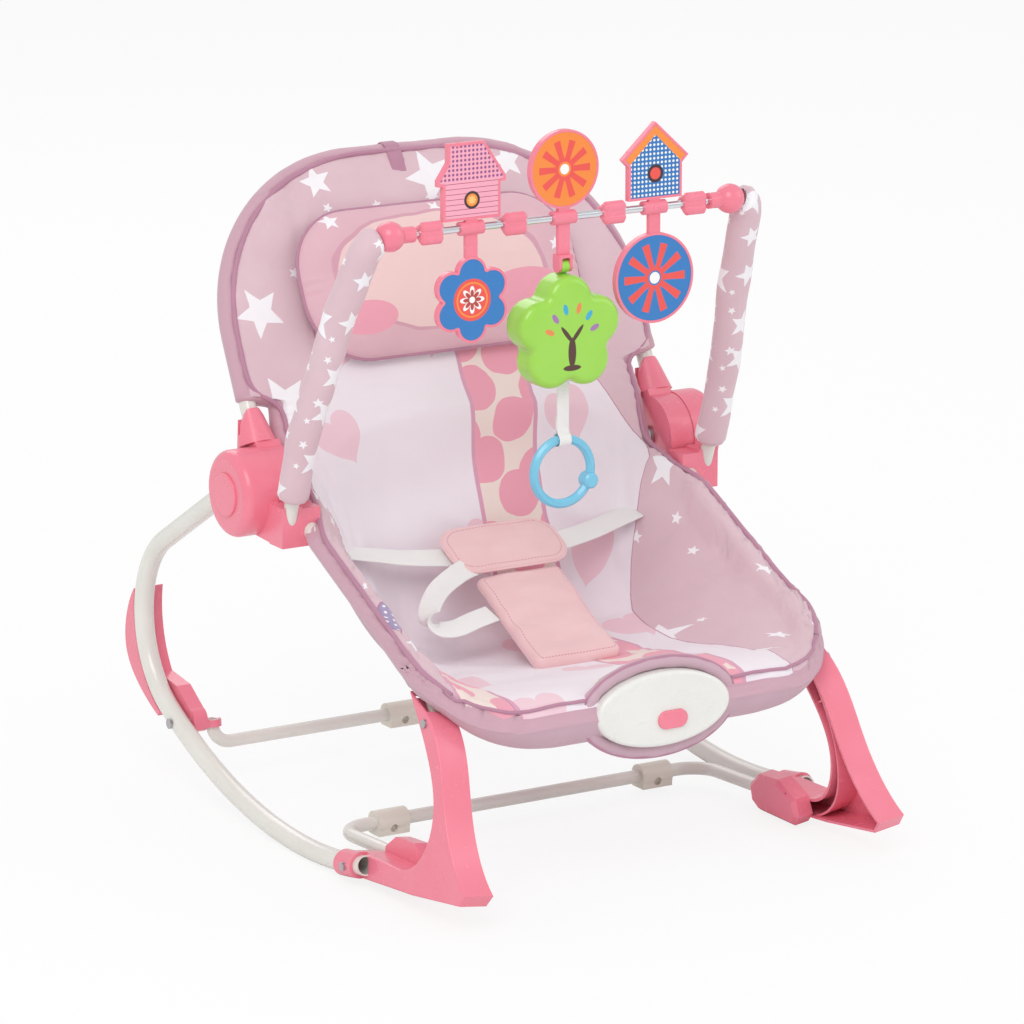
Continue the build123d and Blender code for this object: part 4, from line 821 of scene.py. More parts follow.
def wrap_tube(points, sign):
    """Moves the points that the tube would cut up (sign 1) or down (sign -1), round the tube."""
    line = tube_line()
    rows = int(np.argmax(seat_rows >= wrap_end_row))
    flat = np.stack([np.abs(points[:rows, :, 0]), points[:rows, :, 1]], -1)
    gaps = np.linalg.norm(flat[:, :, None] - line[None, None, :, :2], axis=-1)
    nearest = gaps.argmin(-1)
    gap = gaps.min(-1)
    past_clip = np.maximum(clip_low.y - flat[..., 1], flat[..., 1] - clip_high.y)
    at_clip = np.clip(1 - past_clip / clip_ease, 0, 1) * (flat[..., 0] > clip_reach_x)
    reach = tube_wrap + (clip_wrap - tube_wrap) * at_clip
    lift = np.sqrt(np.maximum(reach**2 - gap**2, 0))
    round_z = line[nearest, 2] + sign * lift
    height = points[:rows, :, 2]
    wrapped = np.maximum(height, round_z) if sign > 0 else np.minimum(height, round_z)
    points[:rows, :, 2] = np.where(gap < reach, wrapped, height)


print("cloth wraps the tube at", tube_wrap * 1000, "mm from its middle")

# %% [markdown]
# ## Rounding and wrinkling the pad
# At its edge a pad thins to nothing, along a quarter of a circle. So each point needs its
# distance from the edge. The same distance drives the puckers beside the piping, where the
# stitching gathers the cloth. Wider wrinkles are sums of long soft waves, each with its own
# direction, from a numbered list of chances, so that every run gives the same cloth.

# %% Edge, puckers and wrinkles
edge_round = 0.014
nose_round = 0.021
pucker_pitch = 0.0115
pucker_height = 0.0011
pucker_reach = 0.013
pucker_start = 0.008
groove_width = 0.003
groove_depth = 0.0022
wrinkle_size = 0.085
wrinkle_height = 0.0012
fold_size = 0.05
fold_height = 0.0009
smooth_rim = 0.03
wave_seed = {
    "puckers": 3, "wrinkles": 11, "folds": 5, "pillow": 21, "crotch_pad": 31, "flap": 41,
    "right_leg_sleeve": 51, "left_leg_sleeve": 52, "rim": 61,
}


def edge_distance():
    """How far each point of the cover lies from its outline."""
    middle = (cover_top + cover_under) / 2
    x = np.abs(middle[..., 0])
    side = half_widths()[:, None] - x
    past_x = x - (seat_half - nose_radius)
    past_y = seat_low.y + nose_radius - middle[..., 1]
    corner = nose_radius - np.hypot(np.maximum(past_x, 0), np.maximum(past_y, 0))
    seat = np.where((past_x > 0) & (past_y > 0), corner, np.minimum(side, middle[..., 1] - seat_low.y))
    u = np.concatenate([np.zeros(len(seat_rows)), back_u])[:, None]
    past_x = x - (back_half - back_corner)
    past_u = u - (back_top - back_corner)
    corner = back_corner - np.hypot(np.maximum(past_x, 0), np.maximum(past_u, 0))
    back = np.where((past_x > 0) & (past_u > 0), corner, np.minimum(side, back_top - u))
    return np.maximum(np.where(u > 0, back, seat), 0)


def round_off(distance, radius):
    share = np.clip(distance / radius, 0, 1)
    return np.sqrt(np.maximum(1 - (1 - share) ** 2, 0))


def soft_waves(across, along, size, seed, count=9):
    """A smooth wrinkle pattern from -1 to 1, with features about size wide."""
    chance = np.random.default_rng(seed)
    total = np.zeros(np.broadcast_shapes(across.shape, along.shape))
    for direction, stretch, start in chance.random((count, 3)):
        angle = direction * math.pi
        length = size * (0.7 + 0.9 * stretch)
        forth = across * math.cos(angle) + along * math.sin(angle)
        total += np.sin(forth * 2 * math.pi / length + start * 7)
    return total / math.sqrt(count)


def grid_normals(points):
    along = np.gradient(points, axis=0)
    across = np.gradient(points, axis=1)
    normal = np.cross(across, along)
    return normal / np.maximum(np.linalg.norm(normal, axis=-1, keepdims=True), 1e-9)


def lengths_along(line):
    """How far along a line of points each of them lies."""
    return np.concatenate([[0], np.cumsum(np.linalg.norm(np.diff(line, axis=0), axis=-1))])


def cloth_places(points):
    """Each point's place on the cloth laid flat: across from the middle, and along from the front."""
    steps = np.linalg.norm(np.diff(points, axis=1), axis=-1)
    across = np.concatenate([np.zeros((len(points), 1)), np.cumsum(steps, axis=1)], axis=1)
    middle = points.shape[1] // 2
    across = across - across[:, middle : middle + 1]
    return across, np.repeat(lengths_along(points[:, middle])[:, None], points.shape[1], 1)


def wall_places(points, along):
    """Places along the cloth. Each column of the seat has its own, so no print is stretched there."""
    last = len(seat_rows) - 1
    steps = np.linalg.norm(np.diff(points[: last + 1], axis=0), axis=-1)
    places = along.copy()
    places[:last] = along[last] - np.cumsum(steps[::-1], axis=0)[::-1]
    return places


cover_across, cover_along = cloth_places(cover_top)
cover_wall = wall_places(cover_top, cover_along)
cover_edge = edge_distance()
front_ease = np.clip(1 - cover_along / 0.10, 0, 1)
cover_edge = cover_edge * (1 + 0.75 * front_ease)
cover_length = float(cover_along.max())
cloth_round = float(cover_across.max()) * 2
print("cloth", round(cover_length, 3), "m long,", round(cloth_round, 3), "m round the seat")

# %% [markdown]
# ## Where the middle panel ends
# A line of stitching joins the pale panel to the side walls. Its half width changes along the
# cover, and two steps need it: the mesh, which dips there, and the print, which changes colour
# there. So it is one table, read by both.

# %% Panel edge table
panel_table = [
    (0.0, 0.150), (0.12, 0.142), (0.26, 0.128), (0.36, 0.135), (0.45, 0.172), (0.53, 0.196),
    (0.58, 0.19), (0.68, 0.15), (0.8, 0.136), (1.0, 0.132),
]
seam_width = 0.006
seam_depth = 0.0016
gusset_width = 0.0095


def panel_edge(along):
    shares, widths = zip(*panel_table)
    return np.interp(along / cover_length, shares, widths)


def dress(top, under, edge):
    """The two skins, rounded at the edge and wrinkled."""
    rear = np.concatenate([seat_rows, np.full(len(back_u), 11.0)])[:, None]
    radius = np.where(rear < 3, nose_round, edge_round)
    middle = (top + under) / 2
    thick = (top - under) / 2 * round_off(edge, radius)[..., None]
    upper = middle + thick
    lower = middle - thick
    wrap_tube(upper, 1)
    wrap_tube(lower, -1)
    normal = grid_normals(upper)
    from_seam = np.abs(edge - gusset_width)
    near_edge = np.exp(-from_seam / pucker_reach) * round_off(edge, pucker_start)
    groove = np.exp(-((from_seam / groove_width) ** 2)) * groove_depth
    drift = soft_waves(cover_across, cover_along, fold_size, wave_seed["puckers"])
    puckers = np.sin(cover_along * 2 * math.pi / pucker_pitch + 2 * drift)
    wide = soft_waves(cover_across * 0.6, cover_along * 1.5, wrinkle_size, wave_seed["wrinkles"])
    wrinkles = wide * wrinkle_height
    crossing = soft_waves(cover_across + cover_along, cover_along * 0.4, fold_size, wave_seed["folds"])
    folds = np.maximum(crossing, 0) ** 2 * fold_height
    seam_gap = np.abs(np.abs(cover_across) - panel_edge(cover_along))
    seam = np.exp(-((seam_gap / seam_width) ** 2)) * seam_depth
    loose = (wrinkles + folds) * round_off(edge, smooth_rim)
    height = puckers * near_edge * pucker_height + loose - seam - groove
    worked = upper + normal * height[..., None]
    wrap_tube(worked, 1)
    return worked, lower


cover_upper, cover_lower = dress(cover_top, cover_under, cover_edge)
print("panel seam", seam_depth * 1000, "mm deep")

# %% [markdown]
# ## From grids to a mesh
# A closed pad needs every edge shared by two faces. The lower grid therefore uses the upper
# grid's own points all round its outer ring, and has new points only inside it. The flat place
# of each point goes into a UV map named cloth, which the print and the weave read. A map named
# edge holds the distance from the edge, and the cover has one named wall for its stars.

# %% Building a pad


def quads(grid):
    corners = [grid[:-1, :-1], grid[:-1, 1:], grid[1:, 1:], grid[1:, :-1]]
    return np.stack(corners, -1).reshape(-1, 4)


def link_mesh(name, points, faces):
    mesh = bpy.data.meshes.new(name)
    mesh.from_pydata([tuple(p) for p in points], [], [tuple(int(i) for i in f) for f in faces])
    mesh.polygons.foreach_set("use_smooth", [True] * len(mesh.polygons))
    piece = bpy.data.objects.new(name, mesh)
    bpy.context.scene.collection.objects.link(piece)
    return piece


def write_cloth_map(piece, places, name="cloth"):
    """Stores each point's flat place in a UV map, by default the one named cloth."""
    layer = piece.data.uv_layers.new(name=name)
    corners = np.zeros(len(piece.data.loops), int)
    piece.data.loops.foreach_get("vertex_index", corners)
    layer.data.foreach_set("uv", np.asarray(places, float)[corners].reshape(-1))


def both_skins(across, along):
    """Places for a pad's points in their order: the upper grid's, then the lower grid's inner ones."""
    flat = np.stack([across, along], -1)
    return np.concatenate([flat.reshape(-1, 2), flat[1:-1, 1:-1].reshape(-1, 2)])


def pad_mesh(name, upper, lower, across, along, edge):
    """A closed pad from two grids that meet all round. Its lower faces take the second material."""
    rows, cols = upper.shape[:2]
    above = np.arange(rows * cols).reshape(rows, cols)
    below = above.copy()
    below[1:-1, 1:-1] = rows * cols + np.arange((rows - 2) * (cols - 2)).reshape(rows - 2, cols - 2)
    points = np.concatenate([upper.reshape(-1, 3), lower[1:-1, 1:-1].reshape(-1, 3)])
    faces = np.concatenate([quads(above), quads(below)[:, ::-1]])
    piece = link_mesh(name, points, faces)
    write_cloth_map(piece, both_skins(across, along))
    write_cloth_map(piece, both_skins(edge, np.zeros_like(edge)), "edge")
    side = np.repeat([0, 1], (rows - 1) * (cols - 1))
    piece.data.polygons.foreach_set("material_index", side)
    return piece


def dress_piece(piece, *recipes):
    for recipe in recipes:
        piece.data.materials.append(finish[recipe].material)


cover = pad_mesh("padded_cover", cover_upper, cover_lower, cover_across, cover_along, cover_edge)
write_cloth_map(cover, both_skins(cover_across, cover_wall), "wall")
print("padded cover:", len(cover.data.vertices), "points")

# %% [markdown]
# ## The cover's colours
# The print is laid on in order, like inks: ground, stars, hearts, then the middle panel over
# them with its own marks, and last the stitching line. A colour ramp turns the place along the
# cover into the panel's half width, from the same table as the mesh.

# %% Cover print
rose = paint(227, 199, 207)
rose_shade = paint(218, 186, 196)
panel_pale = paint(243, 234, 241)
cream = paint(243, 225, 218)
coral = paint(240, 166, 184)
star_white = paint(248, 246, 250)
lilac = paint(168, 152, 188)
magenta = paint(190, 74, 122)
ribbon_start = 0.058
ribbon_drift = -0.036
ribbon_half = 0.032
low_ribbon_middle = -0.172
low_ribbon_half = 0.024
low_ribbon_end = 0.19
panel_top_drop = 0.105
round_pitch = 0.066
widest = 0.25


def panel_width_ramp(recipe, along):
    ramp = recipe.tree.nodes.new("ShaderNodeValToRGB")
    recipe.put(ramp.inputs[0], recipe.math("DIVIDE", along, cover_length))
    stops = ramp.color_ramp.elements
    while len(stops) < len(panel_table):
        stops.new(0.5)
    for stop, (share, width) in zip(stops, panel_table):
        stop.position = share
        stop.color = (width / widest,) * 3 + (1.0,)
    return recipe.math("MULTIPLY", ramp.outputs[0], widest)


def star_cloth(name, ground, shade, big_pitch=0.104, big_size=0.032, share=0.66, star_map="cloth"):
    """Dusty rose cloth with white stars, large and small."""
    recipe = woven(name, ground, shade, on_cloth)
    where = on_cloth(recipe)
    star_place = recipe.cloth_place(star_map)
    tint(recipe, star_marks(recipe, star_place, big_pitch, big_size, 0.35, share), star_white)
    shifted = recipe.vector("ADD", star_place, (0.31, 0.17, 0.0))
    tint(recipe, star_marks(recipe, shifted, big_pitch / 2, big_size * 0.27, 0.6, 0.5), star_white)
    return recipe, where


def print_ribbon(recipe, across, along, gap):
    """A cream ribbon with a mauve edge and coral rounds. gap is how far a point lies outside it."""
    tint(recipe, clamped(recipe, inside(recipe, gap, 0.0045)), paint(222, 164, 188))
    ribbon_mask = clamped(recipe, inside(recipe, gap, 0.0))
    tint(recipe, ribbon_mask, cream)
    turned = recipe.merge(recipe.math("ADD", across, along), recipe.math("SUBTRACT", across, along))
    near = recipe.math("MULTIPLY", recipe.cells(turned, 1 / round_pitch, 0.45)[0], round_pitch)
    wobble = recipe.math("MULTIPLY_ADD", recipe.noise(turned, 22.0), 0.012, 0.026)
    rounds = clamped(recipe, inside(recipe, near, wobble))
    tint(recipe, recipe.math("MULTIPLY", rounds, ribbon_mask), coral)


def cover_print():
    recipe, where = star_cloth("cover_print", rose, rose_shade, star_map="wall")
    across, along, flat = recipe.split(where)
    moved = recipe.vector("ADD", where, (0.083, 0.052, 0.0))
    whole, core = heart_marks(recipe, moved, 0.17, 0.034, 0.35, 0.62)
    tint(recipe, whole, magenta)
    tint(recipe, core, lilac)
    spots = recipe.math("MULTIPLY", dots(recipe, across, along, 0.0125, 0.0026), core)
    tint(recipe, spots, star_white)
    wide = recipe.math("ABSOLUTE", across)
    half = panel_width_ramp(recipe, along)
    below_top = clamped(recipe, inside(recipe, along, cover_length - panel_top_drop))
    panel = recipe.math("MULTIPLY", clamped(recipe, inside(recipe, wide, half)), below_top)
    tint(recipe, panel, panel_pale)
    faint_place = recipe.vector("ADD", where, (0.02, 0.011, 0.0))
    faint = heart_marks(recipe, faint_place, 0.12, 0.026, 0.3, 0.6)[0]
    tint(recipe, recipe.math("MULTIPLY", recipe.math("MULTIPLY", faint, panel), 0.45), coral)
    ribbon_middle = recipe.math("MULTIPLY_ADD", along, ribbon_drift, ribbon_start)
    from_middle = recipe.math("ABSOLUTE", recipe.math("SUBTRACT", across, ribbon_middle))
    past_top = recipe.math("SUBTRACT", along, cover_length - panel_top_drop - 0.02)
    ribbon_gap = recipe.math("MAXIMUM", recipe.math("SUBTRACT", from_middle, ribbon_half), past_top)
    print_ribbon(recipe, across, along, ribbon_gap)
    from_side = recipe.math("ABSOLUTE", recipe.math("SUBTRACT", across, low_ribbon_middle))
    past_end = recipe.math("SUBTRACT", along, low_ribbon_end)
    side_gap = recipe.math("MAXIMUM", recipe.math("SUBTRACT", from_side, low_ribbon_half), past_end)
    print_ribbon(recipe, across, along, side_gap)
    seam = recipe.math("ABSOLUTE", recipe.math("SUBTRACT", wide, half))
    stitching = recipe.math("MULTIPLY", clamped(recipe, inside(recipe, seam, 0.0006)), below_top)
    tint(recipe, stitching, mauve)
    edge_gap = recipe.split(recipe.cloth_place("edge"))[0]
    tint(recipe, clamped(recipe, inside(recipe, edge_gap, gusset_width)), paint(206, 166, 180))
    return recipe


finish["cover_print"] = cover_print()
finish["sleeve_print"] = star_cloth("sleeve_print", rose, rose_shade, 0.046, 0.021, 0.95)[0]
dress_piece(cover, "cover_print", "lining")
print("cover print has", len(finish["cover_print"].tree.nodes), "nodes")

# %% [markdown]
# ## Letting the cloth settle
# Hand-made waves are regular; real padding is not. Blender's Cloth does better: the closed skin
# is blown up gently by an inner pressure for a few frames, while its seams are held. How far a
# point may travel is capped, so that the pad stays in its place, and the result is applied.

# %% Blowing up a pad
settle_frames = 20
cloth_bending = 0.4
cloth_quality = 6


def settle(piece, held, pressure, cap, stiffness=12.0):
    """Blows up a closed pad with Cloth; held marks the points that stay."""
    start = np.array([v.co for v in piece.data.vertices])
    group = piece.vertex_groups.new(name="held")
    group.add([int(i) for i in np.flatnonzero(held)], 1.0, "REPLACE")
    cloth = piece.modifiers.new("cloth", "CLOTH")
    cloth.settings.use_pressure = True
    cloth.settings.uniform_pressure_force = pressure
    cloth.settings.tension_stiffness = stiffness
    cloth.settings.compression_stiffness = stiffness
    cloth.settings.bending_stiffness = cloth_bending
    cloth.settings.vertex_group_mass = "held"
    cloth.settings.effector_weights.gravity = 0.0
    cloth.settings.quality = cloth_quality
    cloth.collision_settings.use_collision = False
    cloth.point_cache.frame_end = settle_frames
    for number in range(1, settle_frames + 1):
        bpy.context.scene.frame_set(number)
    shaped = piece.evaluated_get(bpy.context.evaluated_depsgraph_get())
    moved = np.array([v.co for v in shaped.data.vertices]) - start
    far = np.linalg.norm(moved, axis=1, keepdims=True)
    moved *= np.minimum(1, cap / np.maximum(far, 1e-9))
    piece.modifiers.remove(cloth)
    piece.vertex_groups.remove(group)
    piece.data.vertices.foreach_set("co", (start + moved).reshape(-1))
    piece.data.update()
    bpy.context.scene.frame_set(1)
    print(piece.name, "settled, most movement", round(float(far.max()) * 1000, 1), "mm")


print("settling runs", settle_frames, "frames a pad")

# %% [markdown]
# ## The cover at the recline joint
# The seat stays with the base and the back turns about the hubs. The cover crosses that joint, but
# here it is not joined to either: it is settled, its place is written into its points, and it
# stays where it is. The piping beside it is treated the same way.

# %% Cover across the recline joint
tube_hold_x = 0.184
edge_hold = 0.013
seam_hold = 0.004
cover_pressure = 3.0
cover_swell = 0.006


def across_recline(piece):
    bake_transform(piece)


def cover_held():
    """The cover's points that stay: its edge, its seams, the cloth on the tube and the lower skin."""
    seam_gap = np.abs(np.abs(cover_across) - panel_edge(cover_along))
    on_seat = (np.arange(len(cover_upper)) < len(seat_rows))[:, None]
    on_tube = (np.abs(cover_upper[..., 0]) > tube_hold_x) & on_seat
    above = (cover_edge < edge_hold) | (seam_gap < seam_hold) | on_tube
    below = np.ones(cover_edge[1:-1, 1:-1].size, bool)
    return np.concatenate([above.reshape(-1), below])


settle(cover, cover_held(), cover_pressure, cover_swell)
across_recline(cover)
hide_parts("seat_cover", "back_cover")

# %% [markdown]
# ## Piping
# Piping is a cord wrapped in tape and sewn into the edge. It is a round tube that follows the
# cover's outline, set in by the width of the gusset. A tube needs a ring of points at each step
# along its path, square to the path; carrying the last ring's direction forward keeps it from
# twisting. The path is taken from the cover's own points, lifted a little and evened out.

# %% Tubes along a path
piping_radius = 0.0024
piping_lift = 0.0011
piping_step = 0.004
evened_steps = 4
front_seam_row = 1.25
crown_rows = 14
crown_clear = 0.002


def directions(path):
    forward = np.gradient(path, axis=0)
    return forward / np.linalg.norm(forward, axis=1, keepdims=True)


def tube_grid(path, radius, sides, reference):
    """Rings of points along a path. radius is one number, or a number for each point of each ring."""
    if np.ndim(radius) == 0:
        radius = np.full(len(path), float(radius))
    side = np.array(reference, float)
    rings = []
    for place, ahead, reach in zip(path, directions(path), radius):
        side = side - ahead * (side @ ahead)
        side = side / np.linalg.norm(side)
        other = np.cross(ahead, side)
        angles = np.linspace(0, 2 * math.pi, sides, endpoint=False)
        spread = np.cos(angles)[:, None] * side + np.sin(angles)[:, None] * other
        rings.append(place + spread * (np.ones(sides) * reach)[:, None])
    return np.array(rings)


def rings_mesh(name, grid, path, round_places, closed=False):
    """A mesh over rings of points; round_places says where each point lies round the cloth."""
    rings, around = grid.shape[:2]
    index = np.arange(rings * around).reshape(rings, around)
    wrapped = np.concatenate([index, index[:, :1]], axis=1)
    if closed:
        wrapped = np.concatenate([wrapped, wrapped[:1]])
    faces = [tuple(f) for f in quads(wrapped)]
    if not closed:
        faces += [tuple(index[0]), tuple(index[-1][::-1])]
    piece = link_mesh(name, grid.reshape(-1, 3), faces)
    length = np.repeat(lengths_along(path)[:, None], around, 1)
    flat = np.stack([np.repeat(round_places[None], rings, 0), length], -1)
    write_cloth_map(piece, flat.reshape(-1, 2))
    return piece


def tube_mesh(name, path, radius, sides=10, closed=False, reference=(0.0, 0.0, 1.0)):
    grid = tube_grid(path, radius, sides, reference)
    round_places = np.arange(sides) * 2 * math.pi * np.mean(radius) / sides
    return rings_mesh(name, grid, path, round_places, closed)


def thinned(points, step):
    """The path with its points at least step apart."""
    kept = [points[0]]
    for point in points[1:]:
        if np.linalg.norm(point - kept[-1]) >= step:
            kept.append(point)
    return np.array(kept)


def evened(path, reach):
    """The path with each point moved to the middle of its neighbours, reach of them on each side."""
    padded_path = np.concatenate([np.repeat(path[:1], reach, 0), path, np.repeat(path[-1:], reach, 0)])
    weights = np.hanning(2 * reach + 3)[1:-1]
    columns = [np.convolve(padded_path[:, k], weights / weights.sum(), "valid") for k in range(3)]
    return np.stack(columns, -1)


def at_gusset(gaps, line):
    """The point of a line of the grid that lies the gusset's width inside the outline."""
    return [np.interp(gusset_width, gaps, line[:, k]) for k in range(3)]


def outer_ring():
    """A line inside the cover's outline: up the left side, over the top and down the right."""
    middle = cover_upper.shape[1] // 2
    lifted = cover_upper + grid_normals(cover_upper) * piping_lift
    left = []
    for line, gaps in zip(lifted[front_row:], cover_edge[front_row:]):
        if gaps.max() > gusset_width * 1.02:
            left.append(at_gusset(gaps[: middle + 1], line[: middle + 1]))
    left = np.array(left)
    right = left[::-1] * (-1, 1, 1)
    over = []
    for column in range(cover_upper.shape[1]):
        gaps, line = cover_edge[-crown_rows:, column][::-1], lifted[-crown_rows:, column][::-1]
        if gaps.max() > gusset_width:
            point = at_gusset(gaps, line)
            if abs(point[0]) < abs(left[-1][0]) - crown_clear:
                over.append(point)
    return evened(thinned(np.concatenate([left, np.array(over), right]), piping_step), evened_steps)


front_row = int(np.argmax(seat_rows >= front_seam_row))
edge_path = outer_ring()
piping = tube_mesh("edge_piping", edge_path, piping_radius)
dress_piece(piping, "mauve_piping")
across_recline(piping)
print("edge piping", len(edge_path), "rings")

# %% [markdown]
# ## The front seam
# Along the front edge the top cloth meets a lower band, and the seam between them is piped too.
# It runs from each front corner to the vibration unit, so it is two tubes, left and right.

# %% Front seam piping
unit_clear = 0.074
corner_clear = 0.016
seam_lift = 0.0006
seam_step = 0.005
seam_piping_radius = piping_radius * 0.7


def front_seam(side):
    row = cover_upper[front_row, 2:-2] + np.array([0, -seam_lift, seam_lift])
    keep = (row[:, 0] * side > unit_clear) & (row[:, 0] * side < seat_half - corner_clear)
    path = thinned(row[keep], seam_step)
    name = "right_front_piping" if side > 0 else "left_front_piping"
    piece = tube_mesh(name, path, seam_piping_radius)
    dress_piece(piece, "mauve_piping")
    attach(piece, "base")


front_seam(1)
front_seam(-1)
print("front seams start", unit_clear * 1000, "mm from the middle")

# %% [markdown]
# ## Small pads
# The pillow, the flap and the crotch pad are all a rounded rectangle, filled. One function makes
# the two grids in a flat plane; another function, one for each pad, then says where a flat point
# goes on the seat. That way a pad can lie in any plane, or bend along a line.

# %% A rounded pad in its own plane
pad_seam_hold = 0.002


def pad_grids(half_width, half_height, corner, front, rear, edge, rows=34, cols=41):
    """Flat places x and v, and the heights of the two skins, for a rounded rectangle."""
    turn_steps = np.linspace(0, math.pi / 2, 10)[:-1]
    cap = half_height - corner + corner * np.cos(turn_steps)
    straight = np.linspace(half_height - corner, 0, rows // 2)
    top_half = np.concatenate([cap, straight])
    v = np.concatenate([-top_half, top_half[-2::-1]])
    over = np.clip(np.abs(v) - (half_height - corner), 0, corner)
    widths = half_width - corner + np.sqrt(np.maximum(corner**2 - over**2, 0))
    shares = np.sin(np.linspace(-math.pi / 2, math.pi / 2, cols))
    x = widths[:, None] * shares[None]
    v = np.repeat(v[:, None], cols, 1)
    past_x = np.maximum(np.abs(x) - (half_width - corner), 0)
    past_v = np.maximum(np.abs(v) - (half_height - corner), 0)
    in_corner = (past_x > 0) & (past_v > 0)
    flat_gap = np.minimum(widths[:, None] - np.abs(x), half_height - np.abs(v))
    gap = np.where(in_corner, corner - np.hypot(past_x, past_v), flat_gap)
    share = round_off(np.maximum(gap, 0), edge)
    middle = (front + rear) / 2
    half = (front - rear) / 2 * share
    return x, v, middle + half, middle - half, np.maximum(gap, 0)


def flat_pad(name, grids, place):
    """A pad from flat grids; place turns arrays of x, v and height into points."""
    x, v, high, low, gap = grids
    piece = pad_mesh(name, place(x, v, high), place(x, v, low), x, v, gap)
    held_above = gap.reshape(-1) < pad_seam_hold
    held_below = np.ones(gap[1:-1, 1:-1].size, bool)
    return piece, np.concatenate([held_above, held_below])


def smooth_once(piece):
    """One round of subdivision, applied, so that the mesh itself is as round as the render."""
    modifier = piece.modifiers.new("smooth", "SUBSURF")
    modifier.levels = 1
    modifier.render_levels = 1
    shaped = piece.evaluated_get(bpy.context.evaluated_depsgraph_get())
    mesh = bpy.data.meshes.new_from_object(shaped)
    piece.modifiers.remove(modifier)
    piece.data = mesh


def ring_path(grids, place):
    """The pad's outline as a closed path of points."""
    x, v, high, low, gap = grids
    points = place(x, v, (high + low) / 2)
    return np.concatenate([points[0, :-1], points[:-1, -1], points[-1, :0:-1], points[:0:-1, 0]])


print("small pads ready")

# %% [markdown]
# ## The head pillow
# The pillow is held by a ribbon and rests on the back. Its rear is flat against the cover, so
# only its front skin is free to swell. The cloth solver gathers it at the seam, as filling does.

# %% Head pillow
pillow_low_u = 0.104
pillow_high_u = 0.250
pillow_half = 0.150
pillow_corner = 0.060
pillow_rest = back_front + 0.0006
pillow_rise = 0.024
pillow_swell = 0.010
pillow_pressure = 5.0
pillow_crown = 0.006
gather_count = 46
gather_height = 0.0016
dent_depth = 0.0022
pillow_piping_radius = 0.0019
pillow_patch = (-0.006, 0.004)
pillow_patch_reach = 0.046
pillow_patch_ripple = 0.02
pillow_patch_edge = 0.003
pillow_rounds = [((0.042, -0.03), 0.024), ((-0.05, -0.036), 0.016)]
pillow_mid_u = (pillow_low_u + pillow_high_u) / 2


def on_back(x, v, height):
    """From the pillow's plane to the seat: v runs up the back."""
    y, z = back_point(pillow_mid_u + v, height)
    return np.stack([x, y, z], -1)


def pillow_shape():
    half_height = (pillow_high_u - pillow_low_u) / 2
    front = pillow_rest + pillow_rise
    x, v, high, low, gap = pad_grids(pillow_half, half_height, pillow_corner, front, pillow_rest, 0.03)
    sides = np.exp(-gap / 0.012) * round_off(gap, 0.006)
    around = np.arctan2(v * 2, x)
    gathers = np.sin(around * gather_count) * sides * gather_height
    dents = soft_waves(x, v, 0.07, wave_seed["pillow"]) * dent_depth * round_off(gap, 0.04)
    crown = pillow_crown * round_off(gap, 0.07)
    return x, v, high + gathers + dents + crown, low, gap


def pillow_print():
    recipe = woven("pillow_print", paint(230, 190, 200), paint(222, 178, 190), on_cloth)
    where = on_cloth(recipe)
    across, along, flat = recipe.split(where)
    tint(recipe, star_marks(recipe, where, 0.06, 0.013, 0.5, 0.6), star_white)
    wide = recipe.vector("MULTIPLY", where, (0.52, 1.0, 1.0))
    x, y, flat = recipe.split(wide)
    ripple = recipe.math("MULTIPLY_ADD", recipe.noise(where, 14.0), pillow_patch_ripple, pillow_patch_reach)
    distance, angle = polar(recipe, x, y, pillow_patch)
    outer = recipe.math("ADD", ripple, pillow_patch_edge)
    tint(recipe, clamped(recipe, inside(recipe, distance, outer)), paint(216, 164, 182))
    tint(recipe, clamped(recipe, inside(recipe, distance, ripple)), paint(240, 208, 206))
    for centre, radius in pillow_rounds:
        tint(recipe, disc(recipe, x, y, centre, radius), coral)
    return recipe


finish["pillow_print"] = pillow_print()
pillow_grids = pillow_shape()
pillow, pillow_held = flat_pad("head_pillow_pad", pillow_grids, on_back)
settle(pillow, pillow_held, pillow_pressure, pillow_swell)
smooth_once(pillow)
dress_piece(pillow, "pillow_print", "lining")
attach(pillow, "back")
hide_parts("head_pillow")

pillow_seam = ring_path(pillow_grids, on_back)
to_child = (0, -1, 0)
pillow_piping = tube_mesh(
    "pillow_piping", pillow_seam, pillow_piping_radius, closed=True, reference=to_child
)
dress_piece(pillow_piping, "mauve_piping")
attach(pillow_piping, "back")
print("pillow", pillow_half * 2, "m wide")

# %% [markdown]
# ## Bands of webbing and ribbon
# A band is a tube too, only flat: each ring is a wide, thin oval. The ring needs to know which
# way its width points, so a band takes a path and a width direction for each end.

# %% Flat bands
band_squareness = 0.35


def band_mesh(name, path, side_start, side_end, width, thick, sides=14):
    """A flat band along a path. Its width turns from one direction to the other."""
    forward = directions(path)
    share = np.linspace(0, 1, len(path))[:, None]
    side = np.array(side_start, float) * (1 - share) + np.array(side_end, float) * share
    side = side - forward * (side * forward).sum(1, keepdims=True)
    side /= np.linalg.norm(side, axis=1, keepdims=True)
    face = np.cross(forward, side)
    angles = np.linspace(0, 2 * math.pi, sides, endpoint=False)
    flat = np.sign(np.cos(angles)) * np.abs(np.cos(angles)) ** band_squareness * width / 2
    high = np.sign(np.sin(angles)) * np.abs(np.sin(angles)) ** band_squareness * thick / 2
    grid = path[:, None] + side[:, None] * flat[None, :, None] + face[:, None] * high[None, :, None]
    return rings_mesh(name, grid, path, flat)


def curve_through(points, count):
    points = np.asarray(points, float)
    return smooth_line(points, np.linspace(0, len(points) - 1, count))


